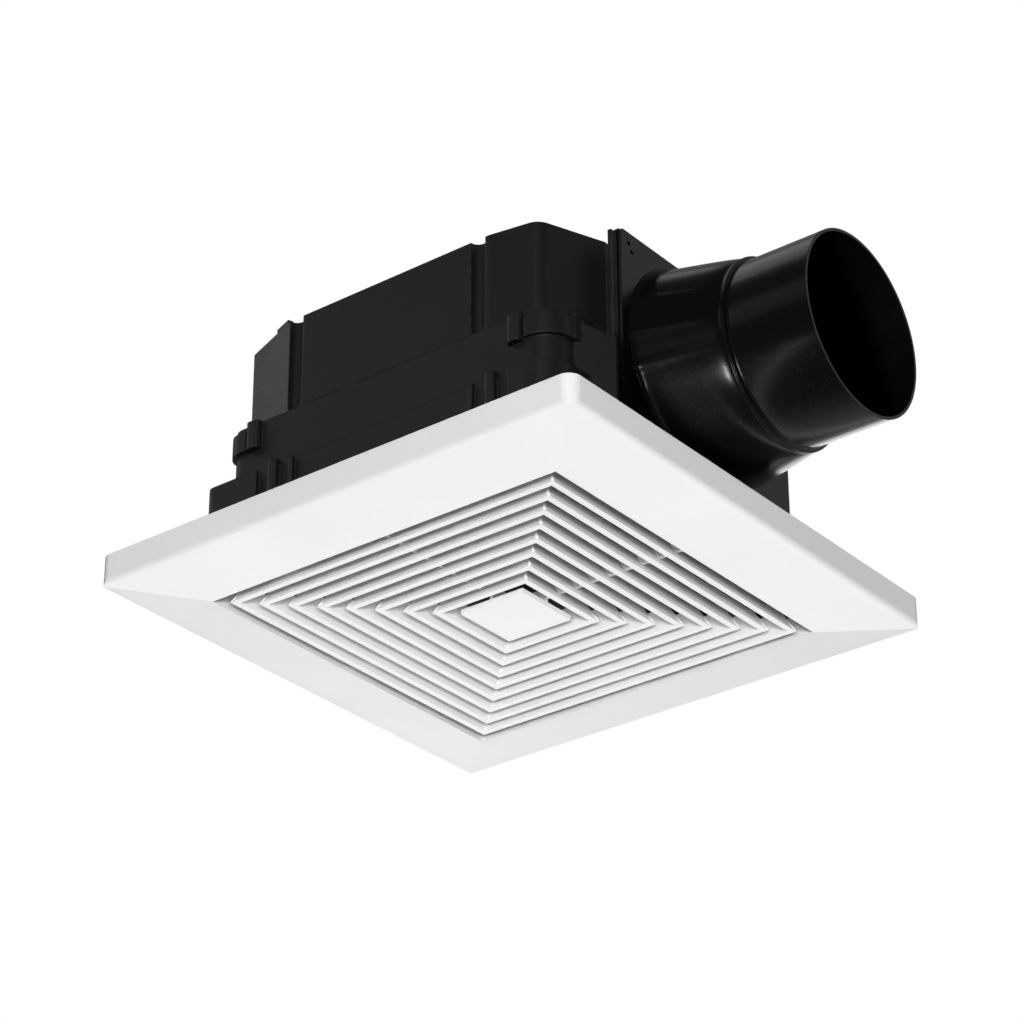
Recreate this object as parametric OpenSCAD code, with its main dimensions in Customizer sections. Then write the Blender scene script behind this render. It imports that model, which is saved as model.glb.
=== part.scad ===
// Ceiling exhaust fan: a louvred ceiling panel under a moulded housing with a
// centrifugal fan and a round duct outlet on one side.
// Millimetres. +X points out of the duct, +Z up. The origin is the centre of the
// four ceiling screws, in the ceiling plane where the housing's flange seats.

/* [View] */
// sub-part to show

/* [Ceiling panel] */
// outside width of the square panel
panel_w = 300; // [290:1:320]
// height of the panel's rim
panel_rim_h = 16; // [14:0.5:20]
// how far the louvre field bulges below the rim's lower edge
panel_bulge = 5.5; // [3:0.5:8]
// wall of the panel
panel_wall = 2.4; // [1.8:0.1:3]
// plan radius of the panel's corners
panel_corner_r = 7; // [4:0.5:12]
// radius of the panel's lower outer edge
panel_edge_r = 3; // [2:0.5:4]

/* [Louvres] */
// number of louvre rings
louvre_count = 8; // [6:1:9]
// spacing from ring to ring
louvre_pitch = 10.35; // [9.8:0.05:10.8]
// gap from the opening's edge to the first ring
louvre_edge_gap = 6.2; // [5:0.1:7]
// height of a slat
louvre_h = 10; // [8:0.5:12]
// how far a slat leans inward over its height
louvre_lean = 5; // [4:0.5:6]
// slat width along its lower edge
louvre_foot = 3.6; // [3:0.1:4]
// slat width along its upper edge
louvre_top = 1.8; // [1.4:0.1:2.2]
// thickness of the ribs that cross the slats
louvre_rib = 1.8; // [1.4:0.1:2.4]
// height of the ribs' lower edge above the slats' lower edge
louvre_rib_up = 4.5; // [2:0.5:6]
// thickness of the flat centre plate
centre_plate_t = 2.6; // [2:0.1:4]

/* [Housing] */
// outside width of the lower housing; the scroll and the wheel follow it
body_w = 210; // [206:1:212]
// wall of the housing mouldings
body_wall = 2.2; // [1.8:0.1:2.6]
// plan radius of the lower housing's corners beside the duct
body_corner_r = 14; // [10:1:18]
// plan radius of the lower housing's corners away from the duct
back_corner_r = 8; // [5:1:10]
// how far the skirt stands out past the housing's walls
skirt_out = 6; // [5:0.5:7]
// plan radius of the skirt's corner on the far side of the duct
skirt_corner_r = 34; // [20:1:40]
// height of the skirt above the ceiling plane
skirt_h = 42; // [38:1:46]
// height of the joint between lower housing and upper cover
joint_z = 76; // [72:1:78]
// height of the cover's top above the ceiling plane
body_top_z = 130; // [126:1:134]
// how far the ceiling flange stands out past the skirt
flange_out = 13; // [12:0.5:15]
// thickness of the ceiling flange
flange_t = 2.5; // [2:0.1:3.5]
// distance of the ceiling screws from the flange's edge
screw_in = 9; // [7:0.5:11]
// radius of the ceiling screw holes
screw_hole_r = 2.5; // [2:0.1:3]
// offset of the upright grooves from the middle of the side wall
groove_x = 59; // [50:1:62]
// radius of the upright grooves
groove_r = 4.5; // [3:0.5:5]

/* [Duct outlet] */
// height of the duct axis above the ceiling plane
duct_z = 72; // [70:0.5:73]
// outside radius of the spigot, for a 100 mm duct
spigot_r = 49.5; // [47:0.5:50]
// wall of the spigot
spigot_wall = 1.6; // [1.4:0.1:2.4]
// length of the spigot past the bead
spigot_len = 46.5; // [36:0.5:60]
// how far the outlet face stands out past the housing's wall
outlet_out = 12; // [11:0.5:13]
// thickness of the foam gasket
gasket_t = 1; // [1:0.5:2]
// thickness of the adaptor plate
plate_t = 4.5; // [4:0.5:6]
// how far the adaptor plate stands past each side of the air passage
plate_margin = 13; // [12:0.5:14]
// height of the adaptor plate
plate_h = 117; // [114:1:118]
// length of the taper from the plate to the bead
taper_len = 43.8; // [36:0.2:50]
// how far the taper's foot stands past each side of the air passage
taper_margin = 4; // [3:0.5:6]
// height of the taper where it leaves the plate
taper_h = 102; // [100:1:106]
// how far the bead ring stands out past the spigot
bead_out = 1.8; // [1.2:0.1:3]
// width of the bead ring
bead_w = 2.2; // [2:0.1:4]
// radius of the adaptor plate's corners
plate_corner_r = 3; // [2:0.5:6]
// width of the air passage through the outlet face
throat_w = 118; // [110:1:120]

/* [Damper] */
// radius of the flap
flap_r = 42; // [40:0.5:42.5]
// thickness of the flap
flap_t = 1.6; // [1.2:0.1:2]
// radius of the opening that the flap covers
seat_r = 38; // [36:0.5:39]
// radius of the flap's pin
flap_pin_r = 1.5; // [1.2:0.1:1.8]

/* [Fan and motor] */
// fan axis, from the origin along the duct
fan_x = -6; // [-8:1:-4]
// fan axis, from the origin across the duct
fan_y = 10; // [8:1:12]
// gap from the wheel to the scroll at its cutoff
cutoff_gap = 4; // [3:0.5:5]
// depth of the blades, from the wheel's outer radius in
blade_depth = 13; // [11:0.5:14]
// number of blades
blade_count = 36; // [24:1:42]
// thickness of a blade
blade_t = 1.2; // [1:0.1:1.6]
// gap from the impeller to the bell mouth below it and to the plate above it
wheel_gap = 2; // [1.5:0.5:3]
// wall of the scroll casing
scroll_wall = 2; // [1.6:0.1:2.2]
// room beside the scroll for a grille spring's leg
spring_room = 11.6; // [10:0.2:13]
// growth of the scroll radius per degree
scroll_growth = 0.11; // [0.1:0.01:0.12]
// how far the bell mouth's throat lies inside the blades
bell_lap = 3; // [2:0.5:6]
// radius of the motor case
motor_r = 40; // [38:0.5:42]
// radius of the motor shaft
shaft_r = 4; // [3:0.5:5]

/* [Grille springs] */
// radius of the spring wire
wire_r = 0.8; // [0.6:0.1:1]
// mean radius of the spring's coil
coil_r = 4; // [3.5:0.1:4.5]
// turns of the coil
coil_turns = 4; // [3:1:5]
// gap between the coil's turns
coil_gap = 0.5; // [0.45:0.05:0.7]
// length of a spring leg from the coil's axis
leg_len = 52; // [48:1:54]
// half angle between the legs with the panel closed
leg_angle = 26.6; // [25:0.1:28]

/* [Clearances] */
// gap between moving pieces that don't bear on each other
gap = 0.3; // [0.3:0.05:0.5]
// radial clearance of a shaft or pin in its bore
fit = 0.05; // [0.03:0.01:0.08]

/* [Hidden] */
$fn = 48;
eps = 0.01;

panel_half = panel_w / 2;
body_half = body_w / 2;
skirt_half = body_half + skirt_out;
flange_half = skirt_half + flange_out;
screw_spacing = 2 * (flange_half - screw_in);
opening_half = skirt_half - 2;
body_corners = [back_corner_r, body_corner_r, body_corner_r, back_corner_r];
skirt_corners = [back_corner_r - 5, body_corner_r, skirt_corner_r, back_corner_r - 5];

// stations of the duct outlet along X, and its heights
outlet_x = body_half + outlet_out;
plate_x = outlet_x + gasket_t;
taper_x = plate_x + plate_t;
bead_x = taper_x + taper_len;
plate_w = throat_w + 2 * plate_margin;
plate_z = body_top_z - plate_h / 2;
taper_w = throat_w + 2 * taper_margin;
taper_z = duct_z + 1.5;
bead_r = spigot_r + bead_out;
spigot_in_r = spigot_r - spigot_wall;

// levels of the inside, from the ceiling plane up
inlet_z = 20;
inlet_t = 2;
scroll_z = inlet_z + inlet_t;
scroll_top_z = body_top_z - 18;
motor_plate_t = 1.2;
motor_plate_top = scroll_top_z + motor_plate_t;
roof_z = body_top_z - body_wall;
bell_h = 16;
wheel_z = inlet_z + bell_h + wheel_gap;
wheel_top_z = scroll_top_z - 2 * wheel_gap;

// the scroll is the largest spiral that leaves room for the spring beside it
scroll_start = 30;
scroll_end = 270;
scroll_r0 = body_half + fan_y - spring_room - scroll_wall - scroll_growth * (scroll_end - scroll_start);
function spiral(a) = scroll_r0 + scroll_growth * (a - scroll_start);
wheel_r = scroll_r0 - cutoff_gap;
blade_in_r = wheel_r - blade_depth;
bell_r = blade_in_r - bell_lap;

// plan helpers: inset and fillet a counter-clockwise outline
function unit(v) = v / norm(v);
function left_of(d) = [-d[1], d[0]];
function inset(p, t) = [for (i = [0 : len(p) - 1])
  let (a = p[(i + len(p) - 1) % len(p)], b = p[i], c = p[(i + 1) % len(p)],
    m = left_of(unit(b - a)), n = left_of(unit(c - b)))
  b + t * (m + n) / (1 + m * n)];
function turn_of(a) = a > 180 ? a - 360 : (a < -180 ? a + 360 : a);
function fillet(p, r, steps = 6) = [for (i = [0 : len(p) - 1])
  let (a = p[(i + len(p) - 1) % len(p)], b = p[i], c = p[(i + 1) % len(p)],
    u = unit(a - b), v = unit(c - b), half = acos(u * v) / 2,
    q = b + unit(u + v) * r[i] / sin(half),
    s = b + u * r[i] / tan(half) - q, e = b + v * r[i] / tan(half) - q,
    a0 = atan2(s[1], s[0]), sweep = turn_of(atan2(e[1], e[0]) - a0))
  each r[i] == 0 ? [b] : [for (k = [0 : steps]) q + r[i] * [cos(a0 + sweep * k / steps),
    sin(a0 + sweep * k / steps)]]];
function less(r, t) = [for (v = r) v > t ? v - t : 0];

module rounded_square(h, r) {
  square([2 * h, 2 * (h - r)], center = true);
  square([2 * (h - r), 2 * h], center = true);
  for (x = [-1, 1])
    for (y = [-1, 1])
      translate([x * (h - r), y * (h - r)])
        circle(r);
}

module rounded_rect(w, h, r) {
  square([w, h - 2 * r], center = true);
  square([w - 2 * r, h], center = true);
  for (x = [-1, 1])
    for (y = [-1, 1])
      translate([x * (w / 2 - r), y * (h / 2 - r)])
        circle(r);
}

// square with its own radius at each corner, taken from (-X, -Y) anticlockwise,
// grown outward by t
module cornered_square(half, corners, t) {
  signs = [[-1, -1], [1, -1], [1, 1], [-1, 1]];
  h = half + t;
  r = [for (c = corners) max(c + t, 0.5)];
  difference() {
    square(2 * h, center = true);
    for (i = [0 : 3])
      translate((h - r[i] / 2 + 0.5) * signs[i])
        square(r[i] + 1, center = true);
  }
  for (i = [0 : 3])
    translate((h - r[i]) * signs[i])
      circle(r[i]);
}
module body_plan(t) {
  cornered_square(body_half, body_corners, t);
}
module skirt_plan(t) {
  cornered_square(skirt_half, skirt_corners, t);
}

module along_x(x) {
  translate([x, 0, 0])
    rotate([90, 0, 90])
      children();
}

// Ceiling panel: a shallow pyramid with a square opening full of louvre rings.
face_angle = atan(panel_bulge / (panel_half - opening_half));
face_z = -panel_rim_h - panel_bulge;
slat_top_z = face_z + louvre_h;
collar_t = 2;
collar_top = slat_top_z + 2.5;
stop_half_w = 6;
bracket_w = 10;

function panel_profile(t, top) = let (
    e = panel_half - t,
    r = panel_edge_r > t ? panel_edge_r - t : 0.2,
    drop = t / cos(face_angle),
    edge_z = -panel_rim_h - (t + r) * tan(face_angle) + drop,
    cz = edge_z + r / cos(face_angle),
    edge = [for (k = [1 : 5]) let (a = k * (90 - face_angle) / 5) [e - r + r * cos(a), cz - r * sin(a)]])
  [[e, top], [-e, top], [-e, cz], each [for (q = edge) [-q[0], q[1]]],
    [-opening_half, face_z + drop], [opening_half, face_z + drop],
    each [for (k = [4 : -1 : 0]) edge[k]], [e, cz]];

module panel_solid(t, top) {
  intersection() {
    rotate([90, 0, 0])
      linear_extrude(2 * panel_w, center = true)
        polygon(panel_profile(t, top));
    rotate([90, 0, 90])
      linear_extrude(2 * panel_w, center = true)
        polygon(panel_profile(t, top));
    translate([0, 0, face_z - 1])
      linear_extrude(top - face_z + 2)
        rounded_square(panel_half - t, panel_corner_r - t);
  }
}

// one quarter of the louvre rings, with its ends mitred
first_ring = opening_half - louvre_edge_gap;
module louvre_quarter() {
  intersection() {
    for (i = [0 : louvre_count - 1])
      let (a = first_ring - i * louvre_pitch)
        rotate([90, 0, 90])
          linear_extrude(2 * a, center = true)
            polygon([[-a, face_z], [-a + louvre_foot, face_z],
              [-a + louvre_lean + louvre_top, slat_top_z], [-a + louvre_lean, slat_top_z]]);
    translate([0, 0, face_z - 1])
      linear_extrude(louvre_h + 2)
        polygon([[0, 0], [-opening_half, -opening_half], [opening_half, -opening_half]]);
  }
}

plate_half = first_ring - louvre_count * louvre_pitch;
module louvres() {
  for (k = [0 : 3])
    rotate([0, 0, 90 * k])
      louvre_quarter();
  translate([0, 0, face_z + centre_plate_t / 2])
    cube([2 * plate_half, 2 * plate_half, centre_plate_t], center = true);
  for (k = [0, 1])
    rotate([0, 0, 90 * k])
      translate([0, 0, (face_z + louvre_rib_up + slat_top_z) / 2])
        cube([2 * opening_half + 1, louvre_rib, louvre_h - louvre_rib_up], center = true);
  // the ribs stand on the back of the centre plate
  for (k = [0, 1])
    rotate([0, 0, 90 * k])
      translate([-plate_half, -louvre_rib / 2, face_z + centre_plate_t - eps])
        cube([2 * plate_half, louvre_rib, louvre_h - centre_plate_t]);
}

// grille springs: where each coil sits on the panel
coil_z = -4;
spring_x = body_half - 39;
spring_y = body_half - 11;
coil_pitch = 2 * wire_r + coil_gap;
coil_len = coil_turns * coil_pitch + 2 * wire_r;
pin_r = coil_r - wire_r - gap;
leg_offset = coil_len / 2 + wire_r + gap;
post_y = spring_y + leg_offset + wire_r + gap;

module spring_post() {
  // block on the louvre field's collar, with the stub that carries the coil
  translate([-bracket_w / 2, -opening_half - eps, slat_top_z - eps])
    cube([bracket_w, opening_half - post_y, collar_top - slat_top_z]);
  translate([-bracket_w / 2, -skirt_half + body_wall + 1, slat_top_z - eps])
    cube([bracket_w, skirt_half - body_wall - 1 - post_y, coil_z + 5.5 - slat_top_z]);
  translate([0, -post_y - eps, coil_z])
    rotate([-90, 0, 0])
      cylinder(r = pin_r, h = 2 * (leg_offset + wire_r + gap) + 1.5);
  translate([0, -spring_y + leg_offset + wire_r + gap, coil_z])
    rotate([-90, 0, 0])
      cylinder(r = pin_r + 1, h = 1.5);
}

module grille_panel() {
  color("white") {
    difference() {
      panel_solid(0, 0);
      difference() {
        panel_solid(panel_wall, 1);
        translate([0, 0, face_z - 1])
          linear_extrude(collar_top - face_z + 1)
            square(2 * (opening_half + collar_t), center = true);
      }
      translate([0, 0, face_z - 1])
        linear_extrude(panel_rim_h + panel_bulge + 3)
          square(2 * opening_half, center = true);
      translate([0, 0, collar_top])
        linear_extrude(panel_rim_h)
          square(2 * (panel_half - panel_wall) - 12, center = true);
    }
    louvres();
    // stops that seat on the housing's flange
    for (k = [0 : 3])
      rotate([0, 0, 90 * k])
        translate([opening_half + collar_t - eps, 0, face_z + panel_wall]) {
          translate([0, -stop_half_w, 0])
            cube([9, panel_wall, -flange_t - gap - face_z - panel_wall]);
          translate([0, stop_half_w - panel_wall, 0])
            cube([9, panel_wall, -flange_t - gap - face_z - panel_wall]);
        }
    // stiffening ribs behind the frame's mitres
    intersection() {
      for (k = [0 : 3])
        rotate([0, 0, 90 * k + 45])
          translate([(opening_half + collar_t) * sqrt(2) - 1, -0.8, face_z])
            cube([(panel_half - opening_half) * sqrt(2), 1.6, 9]);
      panel_solid(1, 0);
    }
    translate([-spring_x, 0, 0])
      spring_post();
    rotate([0, 0, 180])
      translate([-spring_x, 0, 0])
        spring_post();
  }
}

// A torsion spring: its coil as one swept wire, and its two legs.
module swept_wire(path, r, sides = 8) {
  n = len(path);
  function tangent(i) = unit(path[min(i + 1, n - 1)] - path[max(i - 1, 0)]);
  rings = [for (i = [0 : n - 1])
    let (t = tangent(i), u = unit(cross(t, [0, 1, 0.001])), v = cross(t, u))
    for (k = [0 : sides - 1])
      path[i] + r * (cos(360 * k / sides) * u + sin(360 * k / sides) * v)];
  sides_faces = [for (i = [0 : n - 2]) for (k = [0 : sides - 1])
    let (a = i * sides + k, b = i * sides + (k + 1) % sides)
    each [[a, b, b + sides], [a, b + sides, a + sides]]];
  last = (n - 1) * sides;
  ends = [for (k = [1 : sides - 2]) each [[0, k + 1, k], [last, last + k, last + k + 1]]];
  polyhedron(points = rings, faces = concat(sides_faces, ends), convexity = 6);
}

curl_steps = 12;
coil_path = [for (i = [0 : curl_steps * coil_turns]) let (a = 360 * i / curl_steps)
  [coil_r * cos(a), coil_pitch * (a / 360 - coil_turns / 2), coil_r * sin(a)]];
coil_least = min([for (i = [0 : len(coil_path) - 1]) for (k = [i + curl_steps / 2 : 1 : len(coil_path) - 1])
  norm(coil_path[k] - coil_path[i])]) - 2 * wire_r;
echo(least_gap_in_spring_coil = coil_least);
module spring_coil() {
  color("silver")
    swept_wire(coil_path, wire_r);
}

// side is -1 for the leg that leans to -X and 1 for the other
eye_turn = 300;
bend_r = 1.6;
toe_len = 1.2;
module spring_leg(side) {
  color("silver")
    rotate([0, side * leg_angle, 0])
      mirror([side < 0 ? 1 : 0, 0, 0])
        translate([0, side * leg_offset, 0]) {
          rotate([90, 0, 0])
            rotate_extrude(angle = -eye_turn)
              translate([coil_r, 0])
                circle(wire_r, $fn = 16);
          translate([coil_r, 0, 0]) {
            cylinder(r = wire_r, h = leg_len, $fn = 16);
            translate([bend_r, 0, leg_len])
              rotate([90, 0, 0])
                rotate_extrude(start = 90, angle = 90)
                  translate([bend_r, 0])
                    circle(wire_r, $fn = 16);
            translate([bend_r, 0, leg_len + bend_r])
              rotate([0, 90, 0])
                cylinder(r = wire_r, h = toe_len, $fn = 16);
          }
        }
}

module at_spring(side) {
  rotate([0, 0, side < 0 ? 0 : 180])
    translate([-spring_x, -spring_y, coil_z])
      children();
}
module spring_left_coil() { at_spring(-1) spring_coil(); }
module spring_left_leg_a() { at_spring(-1) spring_leg(-1); }
module spring_left_leg_b() { at_spring(-1) spring_leg(1); }
module spring_right_coil() { at_spring(1) spring_coil(); }
module spring_right_leg_a() { at_spring(1) spring_leg(-1); }
module spring_right_leg_b() { at_spring(1) spring_leg(1); }

// Housing: where the screws, brackets and corner bands stand.
cover_screw_r = 1.7;
boss_r = 5;
cover_bosses = [[15 - body_half, 21 - body_half], [body_half - 19, 19 - body_half],
  [body_half - 15, body_half - 17], [15 - body_half, body_half - 17]];
boss_low_z = joint_z - 16;
inlet_boss_x = body_half - 8;
inlet_boss_y = throat_w / 2 + 17;
inlet_bosses = [[-inlet_boss_x, inlet_boss_y - 18], [-inlet_boss_x, -40],
  [inlet_boss_x, inlet_boss_y], [inlet_boss_x, -inlet_boss_y]];
inlet_boss_h = 10;
slot_z = 12;
slot_t = 2;
slot_half = (slot_z + slot_t / 2 - coil_z) * tan(leg_angle) + coil_r / cos(leg_angle) + wire_r + 2.6;
slot_y_half = leg_offset + wire_r + 1;
band_z = joint_z - 15;
band_h = 11.5;
band_out = 2.2;
boss_out = 4;
boss_w = 8.5;
boss_gap = 1.2;
knob_r = 3.5;
knob_out = 3;
// corners with a band: mirrored in X, in Y, and where the boss on the Y face
// and the knob on the X face end
bands = [[0, 1, 17.5, 14.6], [1, 1, 13.5, 13.5], [1, 0, 13.5, 13.5]];
pad_out = 2.5;
pad_top = skirt_h;
clip_in = body_half - 45.5;
clip_out = body_half - 19.5;
// sockets round the skirt: turned by, mirrored, and moved along it
clips = [[0, 0, 0], [0, 1, -5.5], [180, 0, 0], [270, 0, -5.5], [270, 1, 0]];
recess_w = 8;
latch_in = clip_in + 2.5 + recess_w;
latch_w = 5.8;
outlet_lip = 2;
outlet_side = plate_w / 2;
// the pocket's inner corner lies just outside the scroll
pocket_edge = fan_y + (spiral(135) + scroll_wall) * sin(45) + 0.4;

pocket_wall = 1.6;
pocket_z = 3.6;

module corner_band(y_reach, x_reach) {
  // strap round the corner, with a boss on the Y face and a knob on the X face
  translate([0, 0, band_z])
    linear_extrude(band_h)
      intersection() {
        difference() {
          children();
          body_plan(-1);
        }
        translate([body_half - y_reach + boss_gap, body_half - x_reach - knob_r])
          square(body_half);
      }
  translate([body_half - y_reach - boss_w, body_half - 1, band_z - 1])
    linear_extrude(joint_z - band_z + 1)
      polygon(fillet([[0, 0], [boss_w, 0], [boss_w, boss_out + 1], [0, boss_out + 1]],
        [0, 0, 2.5, 2.5], 4));
  translate([body_half, body_half - x_reach - knob_r, joint_z])
    difference() {
      rotate([90, 0, 90])
        translate([0, 0, -1])
          linear_extrude(knob_out + 1) {
            circle(knob_r, $fn = 24);
            translate([-knob_r, band_z - joint_z])
              square([2 * knob_r, joint_z - band_z]);
          }
      translate([-2, -body_half, 0])
        cube([2 + gap, 2 * body_half, 2 * knob_r]);
    }
}

module clip_sockets() {
  // sockets on the skirt with an upright latch, beside the corner pads
  for (c = clips)
    rotate([0, 0, c[0]])
      mirror([c[1], 0, 0])
        translate([c[2], 0, 0])
          difference() {
            union() {
              translate([clip_in, -skirt_half - pad_out, 0])
                cube([clip_out - clip_in - c[2], pad_out + body_wall, pad_top]);
              translate([latch_in, -skirt_half - pad_out - 1, 0])
                linear_extrude(pad_top + 2)
                  polygon(fillet([[0, 0], [latch_w, 0], [latch_w, 5], [0, 5]], [1.5, 1.5, 0, 0], 3));
            }
            for (x = [clip_in + 2.5, latch_in + latch_w])
              translate([x, -skirt_half - pad_out - 1, -1])
                cube([recess_w, pad_out + 2, pad_top + 4]);
          }
}

module corner_pads() {
  difference() {
    linear_extrude(pad_top)
      difference() {
        intersection() {
          skirt_plan(pad_out);
          translate([-pad_out, 0])
            skirt_plan(pad_out);
        }
        skirt_plan(-1);
        square(panel_w);
      }
    for (k = [0, 1])
      rotate([0, 0, 90 * k])
        translate([0, 0, skirt_h / 2])
          cube([2 * clip_out, 2 * panel_w, skirt_h * 2], center = true);
  }
}

outlet_low = body_top_z - plate_h;
outlet_high = body_top_z;
passage_half = throat_w / 2 + scroll_wall + gap;
passage_low = inlet_z - gap;
passage_high = motor_plate_top + gap;
module outlet_frame(z0, z1) {
  // neck and lip that carry the adaptor, cut to one of the two mouldings
  translate([outlet_x - outlet_lip, -outlet_side, z0])
    cube([outlet_lip, plate_w, z1 - z0]);
  intersection() {
    translate([body_half - body_wall, -passage_half - body_wall, passage_low - body_wall])
      cube([outlet_x - outlet_lip - body_half + body_wall + 1, 2 * (passage_half + body_wall),
        passage_high - passage_low + 2 * body_wall]);
    translate([0, -panel_w, z0])
      cube([panel_w, 2 * panel_w, z1 - z0]);
  }
}

// flared cheeks from the housing's corners to the sides of the adaptor plate,
// their upper edge falling towards the duct
cheek_y = body_half - 17;
cheek_x = plate_x + plate_t - 2;
cheek_side = outlet_side + gap;
cheek_fall = 12;
module cheek_solid(t) {
  outer = [[body_half - body_wall, -cheek_y], [body_half, -cheek_y], [cheek_x, -cheek_side - body_wall],
    [cheek_x, -cheek_side], [outlet_x - outlet_lip, -cheek_side], [body_half - body_wall, -passage_half]];
  side = [[body_half - body_wall - 1, outlet_low], [cheek_x + 1, outlet_low],
    [cheek_x + 1, joint_z - cheek_fall - t], [body_half + 4.6, joint_z - 4.6 - t],
    [body_half + 2.4, joint_z - 1 - t], [body_half - body_wall - 1, joint_z - t]];
  intersection() {
    translate([0, 0, outlet_low - (t > 0 ? 1 : 0)])
      linear_extrude(joint_z)
        polygon(t > 0 ? [[body_half - 1, -cheek_y + 4], [outlet_x - outlet_lip - 1, -cheek_side],
          [outlet_x - outlet_lip - 1, -outlet_side + 4], [body_half - 1, -outlet_side + 4]] : outer);
    rotate([90, 0, 0])
      linear_extrude(2 * body_w, center = true)
        polygon([for (q = side) [q[0], q[1] - (t > 0 && q[1] == outlet_low ? 2 : 0)]]);
  }
}
module outlet_cheeks() {
  for (side = [0, 1])
    mirror([0, side, 0])
      difference() {
        cheek_solid(0);
        cheek_solid(body_wall);
      }
}

module outlet_passage() {
  translate([body_half - body_wall - 4, -passage_half, passage_low])
    cube([outlet_x - body_half + body_wall + 6, 2 * passage_half, passage_high - passage_low]);
}

module main_housing() {
  color([0.14, 0.14, 0.15])
    difference() {
      union() {
        // ceiling flange
        translate([0, 0, -flange_t])
          linear_extrude(flange_t)
            difference() {
              rounded_square(flange_half, 6);
              skirt_plan(-body_wall);
            }
        translate([0, 0, -flange_t])
          linear_extrude(skirt_h + flange_t)
            difference() {
              skirt_plan(0);
              skirt_plan(-body_wall);
            }
        // step from the skirt to the upper part
        translate([0, 0, skirt_h - body_wall])
          linear_extrude(body_wall)
            difference() {
              skirt_plan(0);
              body_plan(-body_wall);
            }
        translate([0, 0, skirt_h - body_wall])
          linear_extrude(joint_z - skirt_h + body_wall)
            difference() {
              body_plan(0);
              body_plan(-body_wall);
            }
        // deck under the cover's cut corners
        translate([0, 0, joint_z - body_wall])
          linear_extrude(body_wall)
            difference() {
              body_plan(-1);
              polygon(fillet(inset(cover_plan, body_wall), less(cover_radii, body_wall)));
            }
        corner_pads();
        clip_sockets();
        for (b = bands)
          mirror([b[0], 0, 0])
            mirror([0, b[1], 0])
              corner_band(b[2], b[3])
                mirror([b[0], 0])
                  mirror([0, b[1]])
                    body_plan(band_out);
        outlet_frame(outlet_low, joint_z);
        outlet_cheeks();
        // screw bosses of the upper cover
        for (p = cover_bosses)
          translate([p[0], p[1], boss_low_z]) {
            cylinder(r = boss_r, h = joint_z - boss_low_z);
            translate([p[0] > 0 ? 0 : -(body_half - 1 - abs(p[0])), -1, 0])
              cube([body_half - 1 - abs(p[0]), 2, joint_z - boss_low_z]);
            translate([-1, p[1] > 0 ? 0 : -(body_half - 1 - abs(p[1])), 0])
              cube([2, body_half - 1 - abs(p[1]), joint_z - boss_low_z]);
          }
        // brackets that the inlet ring screws to
        for (p = inlet_bosses)
          translate([p[0] > 0 ? p[0] - 5 : -skirt_half + 1, p[1] - 6, scroll_z])
            cube([skirt_half - abs(p[0]) + 4, 12, inlet_boss_h]);
        // slotted shelves for the spring legs
        for (s = [0, 180])
          rotate([0, 0, s])
            translate([-spring_x - slot_half - 3, -skirt_half + 1, slot_z])
              cube([2 * slot_half + 6, skirt_half - spring_y + slot_y_half + 2, slot_t]);
        // wiring pocket in the corner away from the duct
        translate([-skirt_half + 1, pocket_edge - pocket_wall, pocket_z])
          cube([skirt_half - pocket_edge, pocket_wall, skirt_h - body_wall - pocket_z]);
        translate([-pocket_edge - eps, pocket_edge - pocket_wall, pocket_z])
          cube([pocket_wall, skirt_half - pocket_edge, skirt_h - body_wall - pocket_z]);
        intersection() {
          translate([-skirt_half, pocket_edge - pocket_wall, skirt_h - body_wall])
            linear_extrude(body_wall)
              square(skirt_half - pocket_edge + pocket_wall);
          translate([0, 0, skirt_h - body_wall])
            linear_extrude(body_wall)
              skirt_plan(-1);
        }
      }
      outlet_passage();
      for (x = [-1, 1])
        for (y = [-1, 1])
          translate([x * screw_spacing / 2, y * screw_spacing / 2, -flange_t - 1])
            cylinder(r = screw_hole_r, h = flange_t + 2);
      for (p = cover_bosses)
        translate([p[0], p[1], boss_low_z - 1])
          cylinder(r = cover_screw_r + fit, h = joint_z - boss_low_z + 2, $fn = 24);
      for (p = inlet_bosses)
        translate([p[0], p[1], scroll_z - 1])
          cylinder(r = cover_screw_r + fit, h = inlet_boss_h + 2, $fn = 24);
      for (s = [0, 180])
        rotate([0, 0, s])
          translate([-spring_x - slot_half, -spring_y - slot_y_half, slot_z - 1])
            cube([2 * slot_half, 2 * slot_y_half, slot_t + 2]);
      // supply cable hole
      translate([-skirt_half - 4, gland_y, gland_z])
        rotate([0, 90, 0])
          cylinder(r = gland_r + gap / 2, h = body_wall + 6);
      adaptor_screw_holes(fit);
    }
}

// Upper cover: cut corners, upright grooves and the top of the outlet lip.
cover_r = 6;
// corners of the cover's plan on the side seen from -Y, mirrored for the other side
cut_x = body_half - 39;
cover_side = [[-body_half, 14.3 - body_half], [-cut_x, -body_half],
  [cut_x, -body_half], [body_half - 11.5, 4.5 - body_half],
  [body_half + 2.5, -passage_half - 2.7]];
cover_plan = concat(cover_side,
  [for (i = [len(cover_side) - 1 : -1 : 0]) [cover_side[i][0], -cover_side[i][1]]]);
cover_radii = [3, 3, 10, 9, 0, 0, 9, 10, 3, 3];
groove_end = joint_z + groove_r - 1;
module grooves(r, low) {
  for (x = [groove_r - cut_x, groove_x])
    for (y = [-body_half, body_half])
      translate([x, y, 0]) {
        translate([0, 0, groove_end])
          cylinder(r = r, h = body_top_z - groove_end + low, $fn = 24);
        translate([0, 0, groove_end])
          sphere(r, $fn = 24);
      }
}

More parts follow.
